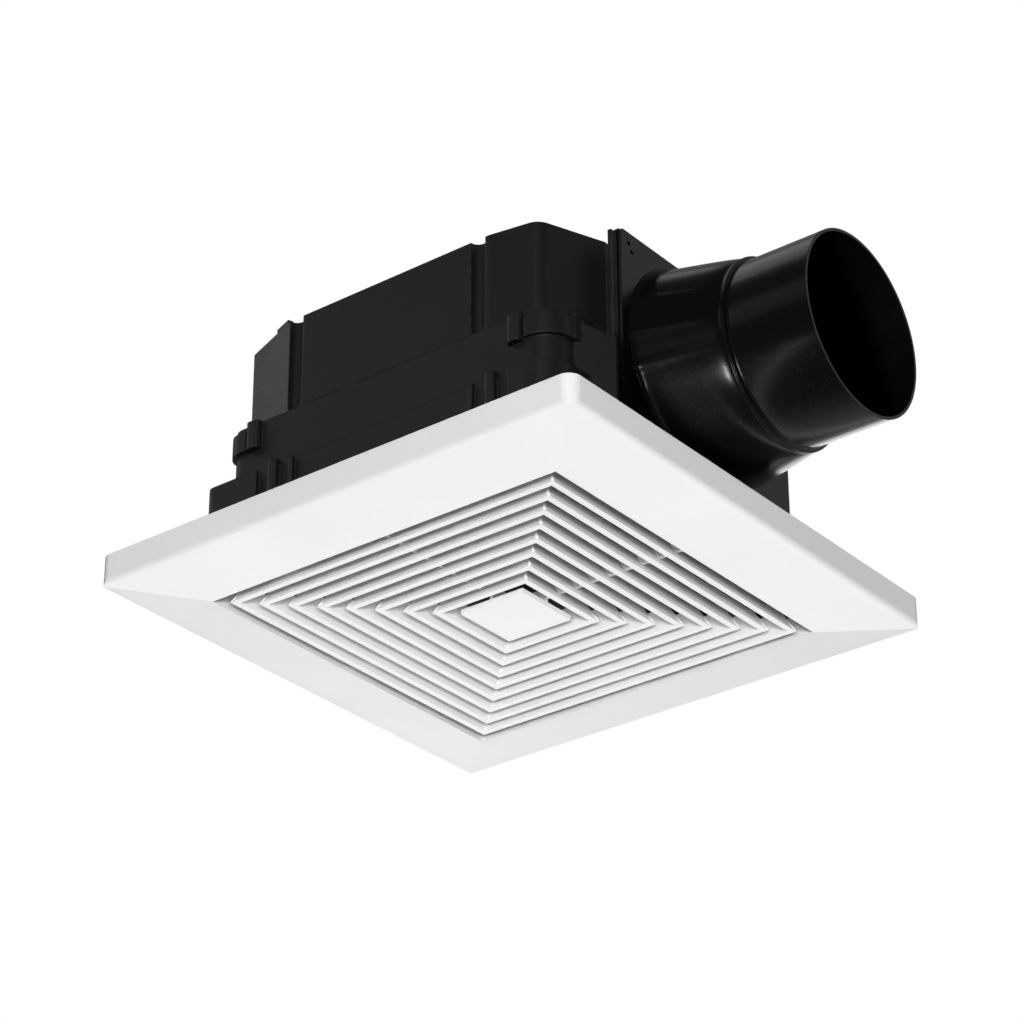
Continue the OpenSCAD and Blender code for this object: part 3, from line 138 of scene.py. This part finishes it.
def add_stage():
    """A wide pale floor below the part, which bounces no light up but shades what lies under it."""
    mesh = bpy.data.meshes.new("floor")
    grid = bmesh.new()
    bmesh.ops.create_grid(grid, x_segments=FLOOR_CELLS, y_segments=FLOOR_CELLS, size=FLOOR_HALF)
    grid.to_mesh(mesh)
    grid.free()
    floor = bpy.data.objects.new("floor", mesh)
    scene.collection.objects.link(floor)
    floor.location = (0.0, 0.0, FLOOR_Z)
    finish = bpy.data.materials.new("floor_paint")
    finish.use_nodes = True
    shader = finish.node_tree.nodes["Principled BSDF"]
    shader.inputs["Base Color"].default_value = FLOOR_TONE
    shader.inputs["Roughness"].default_value = FLOOR_ROUGH
    mesh.materials.append(finish)
    floor.visible_diffuse = False
    floor.visible_glossy = False
    return floor


def add_receivers(floor):
    """Collections that tell the lamps apart: the white panel, the housing, the glossy duct, the floor."""
    lit = {key: bpy.data.collections.new("lit_" + key) for key in ("white", "housing", "duct", "floor")}
    for name in NODES:
        lit[RECEIVER.get(name, "housing")].objects.link(NODES[name])
    lit["floor"].objects.link(floor)
    return lit


def add_lamp(receiver, name, place, target, size, power):
    """A soft box, or an even sun where it has no size, that lights one collection alone."""
    data = bpy.data.lights.new(name, "AREA" if size else "SUN")
    data.energy = power
    if size:
        data.shape = "RECTANGLE"
        data.size, data.size_y = size
    else:
        data.angle = SUN_ANGLE
    lamp = bpy.data.objects.new(name, data)
    scene.collection.objects.link(lamp)
    lamp.location = place
    lamp.rotation_euler = (Vector(target) - Vector(place)).to_track_quat("-Z", "Y").to_euler()
    lamp.light_linking.receiver_collection = LIT[receiver]


scene.view_settings.view_transform = "Standard"
scene.view_settings.look = "None"
add_camera()
add_world()
LIT = add_receivers(add_stage())
for lamp_row in LAMPS:
    add_lamp(*lamp_row)

# Colours and sizes that several materials share
DUST = (0.42, 0.40, 0.37)
SMEAR = (0.12, 0.12, 0.115)
GRAIN_DEPTH = 0.06 * MM
METAL_EDGE = 0.2 * MM
METAL_BUMP = 0.15
BEVEL_SAMPLES = 4
SOFT_RADIUS = (1.0, 0.95, 0.88)
SOFT_DEPTH = 2.0 * MM
SOCKETS = {"metallic": "Metallic", "coat": "Coat Weight", "coat_rough": "Coat Roughness",
           "subsurface": "Subsurface Weight"}


class Paint:
    """A material whose colour, roughness and bump come from procedural nodes in the part's frame."""

    def __init__(self, name):
        self.material = bpy.data.materials.new(name)
        self.material.use_nodes = True
        self.tree = self.material.node_tree
        self.shader = self.tree.nodes["Principled BSDF"]
        self.place = self.add("ShaderNodeTexCoord").outputs["Object"]

    def add(self, kind, **settings):
        node = self.tree.nodes.new(kind)
        for key, value in settings.items():
            setattr(node, key, value)
        return node

    def link(self, a, b):
        self.tree.links.new(a, b)

    def stretched(self, scale):
        """The part's coordinates, drawn out so that a pattern on them becomes streaks."""
        node = self.add("ShaderNodeMapping")
        node.inputs["Scale"].default_value = scale
        self.link(self.place, node.inputs["Vector"])
        return node.outputs[0]

    def texture(self, kind, vector=None, settings=None, **inputs):
        node = self.add(kind, **(settings or {}))
        for key, value in inputs.items():
            node.inputs[key].default_value = value
        self.link(self.place if vector is None else vector, node.inputs["Vector"])
        return node

    def noise(self, scale, detail=3.0, rough=0.55, vector=None):
        node = self.texture("ShaderNodeTexNoise", vector, Scale=scale, Detail=detail, Roughness=rough)
        return node.outputs["Fac"]

    def bands(self, direction, **inputs):
        settings = {"wave_type": "BANDS", "bands_direction": direction}
        return self.texture("ShaderNodeTexWave", settings=settings, **inputs).outputs["Fac"]

    def ranged(self, value, low, high, to_low=0.0, to_high=1.0):
        """The stretch of value from low to high, spread over to_low to to_high."""
        node = self.add("ShaderNodeMapRange")
        for key, number in (("From Min", low), ("From Max", high), ("To Min", to_low), ("To Max", to_high)):
            node.inputs[key].default_value = number
        self.link(value, node.inputs["Value"])
        return node.outputs["Result"]

    def math(self, kind, a, b):
        node = self.add("ShaderNodeMath", operation=kind)
        for k, x in enumerate((a, b)):
            if isinstance(x, (int, float)):
                node.inputs[k].default_value = x
            else:
                self.link(x, node.inputs[k])
        return node.outputs[0]

    def plus(self, a, b):
        return self.math("ADD", a, b)

    def times(self, a, b):
        return self.math("MULTIPLY", a, b)

    def mixed(self, factor, a, b):
        """Colour a where factor is 0 and colour b where it is 1."""
        node = self.add("ShaderNodeMix", data_type="RGBA")
        self.link(factor, node.inputs["Factor"])
        for key, x in (("A", a), ("B", b)):
            socket = [i for i in node.inputs if i.name == key and i.type == "RGBA"][0]
            if isinstance(x, tuple):
                socket.default_value = (*x, 1.0)
            else:
                self.link(x, socket)
        return [o for o in node.outputs if o.type == "RGBA"][0]

    def bevel(self, radius):
        node = self.add("ShaderNodeBevel", samples=BEVEL_SAMPLES)
        node.inputs["Radius"].default_value = radius
        return node.outputs[0]

    def edges(self, radius, low=0.01, high=0.16):
        """1 at the part's edges, where a rounded normal departs from the true one."""
        true = self.add("ShaderNodeNewGeometry").outputs["Normal"]
        dot = self.add("ShaderNodeVectorMath", operation="DOT_PRODUCT")
        self.link(self.bevel(radius), dot.inputs[0])
        self.link(true, dot.inputs[1])
        return self.ranged(self.math("SUBTRACT", 1.0, dot.outputs["Value"]), low, high)

    def upward(self, low=0.55, high=0.95):
        """1 on faces that look up, where dust settles."""
        split = self.add("ShaderNodeSeparateXYZ")
        self.link(self.add("ShaderNodeNewGeometry").outputs["Normal"], split.inputs[0])
        return self.ranged(split.outputs["Z"], low, high)

    def bump(self, height, strength, distance, rounded=0.0):
        """Surface relief, with edges that look rounded where a radius is given."""
        node = self.add("ShaderNodeBump")
        node.inputs["Strength"].default_value = strength
        node.inputs["Distance"].default_value = distance
        self.link(height, node.inputs["Height"])
        if rounded > 0.0:
            self.link(self.bevel(rounded), node.inputs["Normal"])
        self.link(node.outputs[0], self.shader.inputs["Normal"])

    def colour(self, socket):
        self.link(socket, self.shader.inputs["Base Color"])

    def rough(self, socket):
        self.link(socket, self.shader.inputs["Roughness"])

    def set(self, **values):
        for key, value in values.items():
            self.shader.inputs[SOCKETS[key]].default_value = value
        self.shader.inputs["Subsurface Radius"].default_value = SOFT_RADIUS
        self.shader.inputs["Subsurface Scale"].default_value = SOFT_DEPTH


def moulded(name, dark, light, rough, grain, edge_colour, edge_r=0.35 * MM, edge_strength=0.35, dust=0.0,
            flow=(1.0, 1.0, 0.25), bump=0.25, **more):
    """Injection-moulded plastic: cloudy colour, spark-eroded grain, flow streaks, dust, and light edges
    that are partly scuffs and partly a painted highlight.
    """
    paint = Paint(name)
    cloud = paint.noise(9.0, detail=4.0, rough=0.6)
    speck = paint.noise(grain * 0.35, detail=2.0, rough=0.7)
    tone = paint.plus(paint.times(cloud, 0.7), paint.times(speck, 0.3))
    body = paint.mixed(paint.ranged(tone, 0.36, 0.64), dark, light)
    # The edge colour is partly scuffing and partly a painted highlight along the rounded edges.
    edge_patches = paint.ranged(paint.noise(140.0, detail=4.0, rough=0.7), 0.42, 0.66, to_high=edge_strength)
    edge_rub_and_highlight = paint.times(paint.edges(edge_r * 1.6), edge_patches)
    body = paint.mixed(edge_rub_and_highlight, body, edge_colour)
    if dust > 0.0:
        settled = paint.ranged(paint.noise(60.0, detail=6.0, rough=0.75), 0.4, 0.72, to_high=dust)
        body = paint.mixed(paint.times(paint.upward(), settled), body, DUST)
    paint.colour(body)
    streak = paint.noise(26.0, detail=3.0, rough=0.6, vector=paint.stretched(flow))
    shine = paint.ranged(streak, 0.3, 0.7, rough - 0.05, rough + 0.06)
    rub = paint.ranged(paint.noise(420.0, detail=2.0, rough=0.6), 0.3, 0.7, -0.03, 0.03)
    paint.rough(paint.plus(paint.plus(shine, rub), paint.times(edge_rub_and_highlight, 0.25)))
    waves = paint.times(paint.noise(30.0, detail=2.0, rough=0.5), 1.2)
    height = paint.plus(paint.noise(grain, detail=2.0, rough=0.6), waves)
    paint.bump(height, bump, GRAIN_DEPTH, edge_r)
    paint.set(**more)
    return paint.material


def metal(name, dark, light, rough, brush=(1.0, 1.0, 30.0), scale=90.0,
          tarnish=(0.2, 0.17, 0.14), spots=0.25):
    """Rolled, drawn or turned metal: brushed roughness, tarnish clouds and bright edges."""
    paint = Paint(name)
    line = paint.noise(scale, detail=3.0, rough=0.6, vector=paint.stretched(brush))
    body = paint.mixed(paint.ranged(line, 0.3, 0.7), dark, light)
    stain = paint.ranged(paint.noise(55.0, detail=5.0, rough=0.7), 0.55, 0.8, to_high=spots)
    body = paint.mixed(stain, body, tarnish)
    body = paint.mixed(paint.edges(METAL_EDGE), body, tuple(min(1.0, x * 1.2) for x in light))
    paint.colour(body)
    dull = paint.ranged(paint.noise(70.0, detail=4.0, rough=0.7), 0.5, 0.8, to_high=0.12)
    paint.rough(paint.plus(paint.ranged(line, 0.3, 0.7, rough - 0.06, rough + 0.08), dull))
    paint.bump(line, METAL_BUMP, 0.03 * MM, METAL_EDGE)
    paint.set(metallic=1.0)
    return paint.material


def spangled(name):
    """Galvanised sheet with its crystal spangle."""
    paint = Paint(name)
    tone = paint.add("ShaderNodeSeparateColor")
    paint.link(paint.texture("ShaderNodeTexVoronoi", Scale=210.0).outputs["Color"], tone.inputs[0])
    bright, dull, facet = tone.outputs
    body = paint.mixed(paint.ranged(bright, 0.0, 1.0), (0.42, 0.43, 0.45), (0.66, 0.67, 0.69))
    stain = paint.ranged(paint.noise(30.0, detail=5.0, rough=0.7), 0.52, 0.75, to_high=0.35)
    paint.colour(paint.mixed(stain, body, (0.50, 0.50, 0.48)))
    rub = paint.ranged(paint.noise(240.0), 0.3, 0.7, -0.03, 0.03)
    paint.rough(paint.plus(paint.ranged(dull, 0.0, 1.0, 0.28, 0.46), rub))
    paint.bump(facet, 0.12, 0.02 * MM, 0.25 * MM)
    paint.set(metallic=1.0)
    return paint.material


def soft_rubber(name, dark, light, rough, pores, depth):
    """Rubber or foam: open pores, a dry smear and no shine."""
    paint = Paint(name)
    pore = paint.texture("ShaderNodeTexVoronoi", Scale=pores).outputs["Distance"]
    body = paint.mixed(paint.ranged(pore, 0.05, 0.6), dark, light)
    smear = paint.ranged(paint.noise(45.0, detail=4.0), 0.5, 0.8, to_high=0.25)
    paint.colour(paint.mixed(smear, body, SMEAR))
    paint.rough(paint.ranged(paint.noise(130.0), 0.3, 0.7, rough - 0.08, rough + 0.08))
    paint.bump(paint.plus(pore, paint.noise(pores * 2.0)), 0.5, depth, 0.3 * MM)
    return paint.material


def stacked(name):
    """Edge of a stack of electrical sheets, oiled."""
    paint = Paint(name)
    sheet = paint.bands("Z", Scale=320.0, Distortion=0.6)
    body = paint.mixed(sheet, (0.12, 0.12, 0.13), (0.36, 0.37, 0.39))
    oil = paint.ranged(paint.noise(70.0, detail=5.0), 0.5, 0.8, to_high=0.5)
    paint.colour(paint.mixed(oil, body, (0.16, 0.10, 0.06)))
    paint.rough(paint.ranged(paint.noise(160.0), 0.3, 0.7, 0.32, 0.5))
    paint.bump(sheet, 0.5, 0.08 * MM)
    paint.set(metallic=0.9)
    return paint.material


def wound_copper(name):
    """Enamelled wire laid in turns, under varnish."""
    paint = Paint(name)
    wire = paint.bands("DIAGONAL", Scale=260.0, Distortion=1.5, Detail=1.0)
    body = paint.mixed(wire, (0.23, 0.06, 0.02), (0.62, 0.25, 0.09))
    varnish = paint.ranged(paint.noise(60.0, detail=4.0), 0.5, 0.8, to_high=0.4)
    paint.colour(paint.mixed(varnish, body, (0.16, 0.05, 0.02)))
    paint.rough(paint.ranged(paint.noise(120.0), 0.3, 0.7, 0.25, 0.42))
    paint.bump(wire, 0.7, 0.15 * MM)
    paint.set(metallic=0.85, coat=0.4, coat_rough=0.15)
    return paint.material


# Finishes: dark and light colour, roughness, grain and the edge colour (scuffs, and on the black parts also
# a painted highlight), then what is special
WHITE = moulded("panel_white", (0.895, 0.895, 0.89), (0.93, 0.93, 0.925), 0.42, 1500.0, (0.93, 0.93, 0.93),
                edge_r=0.4 * MM, edge_strength=0.3, dust=0.03, bump=0.08)
# The housing's light edge colour paints a highlight along its edges, on top of scuffs.
BLACK = moulded("housing_black", (0.0135, 0.0135, 0.0145), (0.020, 0.020, 0.021), 0.40, 1700.0,
                (0.11, 0.11, 0.115), edge_r=1.1 * MM, edge_strength=0.35, dust=0.10, bump=0.22)
GLOSS = moulded("adaptor_black", (0.0105, 0.0105, 0.012), (0.016, 0.016, 0.018), 0.23, 1100.0,
                (0.12, 0.12, 0.125), edge_r=0.5 * MM, edge_strength=0.22, bump=0.03, flow=(0.15, 1.0, 1.0),
                coat=0.15, coat_rough=0.12)
SKIN = moulded("adaptor_black_skin", (0.0115, 0.0115, 0.013), (0.017, 0.017, 0.019), 0.22, 700.0,
               (0.12, 0.12, 0.125), edge_r=0.0, edge_strength=0.0, bump=0.02, flow=(0.15, 1.0, 1.0),
               coat=0.15, coat_rough=0.10)
GREY = moulded("inner_grey", (0.045, 0.045, 0.05), (0.075, 0.075, 0.082), 0.46, 1400.0, (0.2, 0.2, 0.21),
               edge_r=0.3 * MM, edge_strength=0.3, dust=0.08)
FLAP = moulded("flap_grey", (0.055, 0.055, 0.06), (0.085, 0.085, 0.092), 0.5, 1300.0, (0.22, 0.22, 0.23),
               edge_r=0.25 * MM, edge_strength=0.3, dust=0.06)
CASE = moulded("capacitor_white", (0.62, 0.61, 0.56), (0.74, 0.73, 0.69), 0.35, 1500.0, (0.8, 0.8, 0.77),
               edge_r=0.4 * MM, edge_strength=0.2, dust=0.08)
NYLON = moulded("terminal_nylon", (0.60, 0.59, 0.53), (0.72, 0.71, 0.66), 0.42, 1800.0, (0.78, 0.77, 0.73),
                edge_r=0.25 * MM, edge_strength=0.2, subsurface=0.15)
SHEET = spangled("zinc_sheet")
SCREW = metal("screw_zinc", (0.44, 0.43, 0.40), (0.64, 0.63, 0.60), 0.30, scale=300.0)
SPRING = metal("spring_wire", (0.45, 0.45, 0.46), (0.66, 0.66, 0.67), 0.22, brush=(12.0, 12.0, 12.0),
               scale=60.0)
GROUND = metal("ground_steel", (0.52, 0.52, 0.54), (0.72, 0.72, 0.74), 0.16, brush=(1.0, 1.0, 60.0),
               scale=60.0, spots=0.1)
BRASS = metal("brass_turned", (0.48, 0.34, 0.12), (0.70, 0.54, 0.24), 0.28, brush=(30.0, 30.0, 1.0),
              scale=60.0, tarnish=(0.25, 0.16, 0.07))
RUBBER = soft_rubber("bush_rubber", (0.018, 0.018, 0.018), (0.035, 0.035, 0.035), 0.72, 900.0, 0.04 * MM)
FOAM = soft_rubber("gasket_foam", (0.012, 0.012, 0.012), (0.05, 0.05, 0.05), 0.92, 1100.0, 0.2 * MM)
STACK = stacked("lamination_stack")
COPPER = wound_copper("winding_copper")

SPRING_PARTS = [f"spring_{side}_{part}"
                for side in ("left", "right") for part in ("coil", "leg_a", "leg_b")]
FINISH = {
    WHITE: ["grille_panel"],
    BLACK: ["main_housing", "upper_cover", "terminal_cover"],
    GLOSS: ["duct_adaptor"],
    GREY: ["scroll_casing", "inlet_ring", "impeller"],
    FLAP: ["damper_flap"],
    CASE: ["capacitor"],
    NYLON: ["terminal_block"],
    SHEET: ["motor_plate", "motor_case_upper", "motor_case_lower", "impeller_washer", "capacitor_clip"],
    SCREW: ["cover_screws", "inlet_screws", "plate_screws", "motor_screws", "adaptor_screws",
            "impeller_nut"],
    SPRING: SPRING_PARTS + ["damper_pin"],
    GROUND: ["motor_shaft", "bearing_upper", "bearing_lower"],
    BRASS: ["terminal_screws"],
    RUBBER: ["motor_bushes", "cable_gland"],
    FOAM: ["adaptor_gasket"],
    STACK: ["stator_core", "rotor_core"],
    COPPER: ["stator_windings"],
}
for finish, names in FINISH.items():
    for name in names:
        node = NODES[name]
        if not node.material_slots:
            node.data.materials.append(finish)
        for slot in node.material_slots:
            slot.material = finish


def add_piece(name, mesh, body, finish, receiver):
    """A piece of the scene's own that rides a body and takes light like the node that it lies on."""
    piece = bpy.data.objects.new(name, mesh)
    scene.collection.objects.link(piece)
    LIT[receiver].objects.link(piece)
    mesh.materials.append(finish)
    mesh.shade_smooth()
    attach(piece, body)


def loft(shell, rings, cyclic):
    """Faces through rings of points; the last ring joins the first, or else both ends are capped."""
    rows = [[shell.verts.new(point) for point in ring] for ring in rings]
    after = rows[1:] + rows[:1] if cyclic else rows[1:]
    for one, two in zip(rows, after):
        for k in range(len(one)):
            j = (k + 1) % len(one)
            shell.faces.new((one[k], one[j], two[j], two[k]))
    if not cyclic:
        shell.faces.new(reversed(rows[0]))
        shell.faces.new(rows[-1])


def mesh_of(name, shell):
    """The finished mesh of closed shells, with their faces turned outward."""
    mesh = bpy.data.meshes.new(name)
    bmesh.ops.recalc_face_normals(shell, faces=shell.faces)
    shell.to_mesh(mesh)
    shell.free()
    return mesh


# Taper of the adaptor: an oblong foot on the plate, and a round end at the bead
FOOT_X = 122.5
FOOT_Z = 73.5
FOOT_R = 50.0
FOOT_FLAT_Y = 13.0
FOOT_FLAT_Z = 1.0
FOOT_CORNER = 6.0
BEAD_X = 166.3
BEAD_R = 50.5
DUCT_Z = 72.0

# The moulded skin's height over the plain taper: clearance, crown, ridges, root fillet and bead hollow
SKIN_CLEAR = 0.35
CROWN_H = 1.05
CROWN_FADE = 4.5
RIDGE_ANGLES = [math.radians(degrees) for degrees in (164.0, 181.0, 197.0)]
RIDGE_H = 1.15
RIDGE_W = 2.4
RIDGE_FADE = 0.8
FILLET_H = 1.5
FILLET_W = 0.9
HOLLOW_H = 0.30
HOLLOW_W = 0.8
SKIN_DEPTH = 0.7
SKIN_SIDES = 256
SKIN_STEPS = [0.0, 0.008, 0.02, 0.035, 0.055] + [0.08 + 0.88 * k / 26 for k in range(27)] + [0.98, 0.995]


def taper_point(s, turn, out):
    """A point of the taper, s of the way along it, turned round it, and out from it."""
    y_way = math.cos(turn)
    z_way = math.sin(turn)
    foot_y = FOOT_FLAT_Y * math.tanh(FOOT_CORNER * y_way) + FOOT_R * y_way
    foot_z = FOOT_Z + FOOT_FLAT_Z * math.tanh(FOOT_CORNER * z_way) + FOOT_R * z_way
    y = (1.0 - s) * foot_y + s * BEAD_R * y_way
    z = (1.0 - s) * foot_z + s * (DUCT_Z + BEAD_R * z_way)
    return Vector((FOOT_X + (BEAD_X - FOOT_X) * s, y + out * y_way, z + out * z_way))


def skin_height(s, turn):
    """How far the moulded skin stands off the plain taper there."""
    along = s * (BEAD_X - FOOT_X)
    height = SKIN_CLEAR + CROWN_H * (1.0 - math.exp((along - BEAD_X + FOOT_X) / CROWN_FADE))
    probe = taper_point(s, turn, 0.0)
    for angle in RIDGE_ANGLES:
        for side in (1.0, -1.0):
            off = probe.y * side * math.sin(angle) - (probe.z - DUCT_Z) * math.cos(angle)
            if probe.y * side < 0.0:
                height += RIDGE_H * (1.0 - s) ** RIDGE_FADE * math.exp(-(off / RIDGE_W) ** 2)
    fillet = FILLET_H * math.exp(-along / FILLET_W)
    hollow = HOLLOW_H * math.exp(-(BEAD_X - FOOT_X - along) / HOLLOW_W)
    return height + fillet - hollow


def taper_skin():
    """The adaptor's taper as it is moulded, crowned, with three soft ridges on each side."""
    turns = [2.0 * math.pi * k / SKIN_SIDES for k in range(SKIN_SIDES)]
    rings = [[taper_point(s, turn, skin_height(s, turn)) * MM for turn in turns] for s in SKIN_STEPS]
    rings += [[taper_point(s, turn, -SKIN_DEPTH) * MM for turn in turns] for s in reversed(SKIN_STEPS)]
    shell = bmesh.new()
    loft(shell, rings, cyclic=True)
    return mesh_of("taper_skin", shell)


# Section of the bead and the spigot's root as x and radius: two crests, a hollow between them, a fillet
BEAD = [(165.9, 50.2), (166.05, 50.75), (166.3, 51.2), (166.65, 51.5), (167.0, 51.45), (167.25, 51.3),
        (167.5, 51.3), (167.75, 51.45), (168.1, 51.5), (168.4, 51.3), (168.6, 50.8), (168.7, 50.2),
        (168.85, 49.8), (169.3, 49.62), (170.2, 49.55), (170.3, 49.2), (165.9, 49.2)]
BEAD_SIDES = 192


def bead_ring():
    """The bead's section, turned about the duct's axis."""
    turns = [2.0 * math.pi * k / BEAD_SIDES for k in range(BEAD_SIDES)]
    rings = [[Vector((x, radius * math.cos(turn), DUCT_Z + radius * math.sin(turn))) * MM for turn in turns]
             for x, radius in BEAD]
    shell = bmesh.new()
    loft(shell, rings, cyclic=True)
    return mesh_of("bead_ring", shell)


# Louvre rings: how many, half the outermost's width, their pitch, and the bead on each mitre with
# the inset, height and half width of its two ends
LOUVRES = 8
LOUVRE_HALF = 102.8
LOUVRE_PITCH = 10.35
MITRE_ENDS = [(0.1, -21.35, 0.95), (5.0, -11.7, 0.55)]
MITRE_BULGE = 0.35
MITRE_SUNK = 0.25
MITRE_ROOT = 0.8
MITRE_ARC = 6


def mitre_section(point, out, side, wide):
    """Half-round toward out, with a root that narrows into the louvre."""
    turns = [math.pi * k / MITRE_ARC for k in range(MITRE_ARC + 1)]
    ring = [point + side * (math.cos(turn) * wide) + out * (MITRE_BULGE * math.sin(turn) - MITRE_SUNK)
            for turn in turns]
    for way in (-1.0, 1.0):
        ring.append(point - out * MITRE_ROOT + side * wide * (way * MITRE_ROOT))
    return [corner * MM for corner in ring]


def louvre_mitres():
    """The rounded outer edge where two sides of a louvre ring meet, from its foot to its top."""
    shell = bmesh.new()
    for half in [LOUVRE_HALF - LOUVRE_PITCH * i for i in range(LOUVRES)]:
        for x_way, y_way in ((-1.0, -1.0), (-1.0, 1.0), (1.0, -1.0), (1.0, 1.0)):
            out = Vector((x_way, y_way, 0.0)).normalized()
            side = Vector((-y_way, x_way, 0.0)).normalized()
            ends = []
            for inset, z, wide in MITRE_ENDS:
                corner = Vector((x_way * (half - inset), y_way * (half - inset), z))
                ends.append(mitre_section(corner, out, side, wide))
            loft(shell, ends, cyclic=False)
    return mesh_of("louvre_mitres", shell)


add_piece("taper_skin", taper_skin(), "housing", SKIN, "duct")
add_piece("bead_ring", bead_ring(), "housing", SKIN, "duct")
add_piece("louvre_mitres", louvre_mitres(), "panel", WHITE, "white")
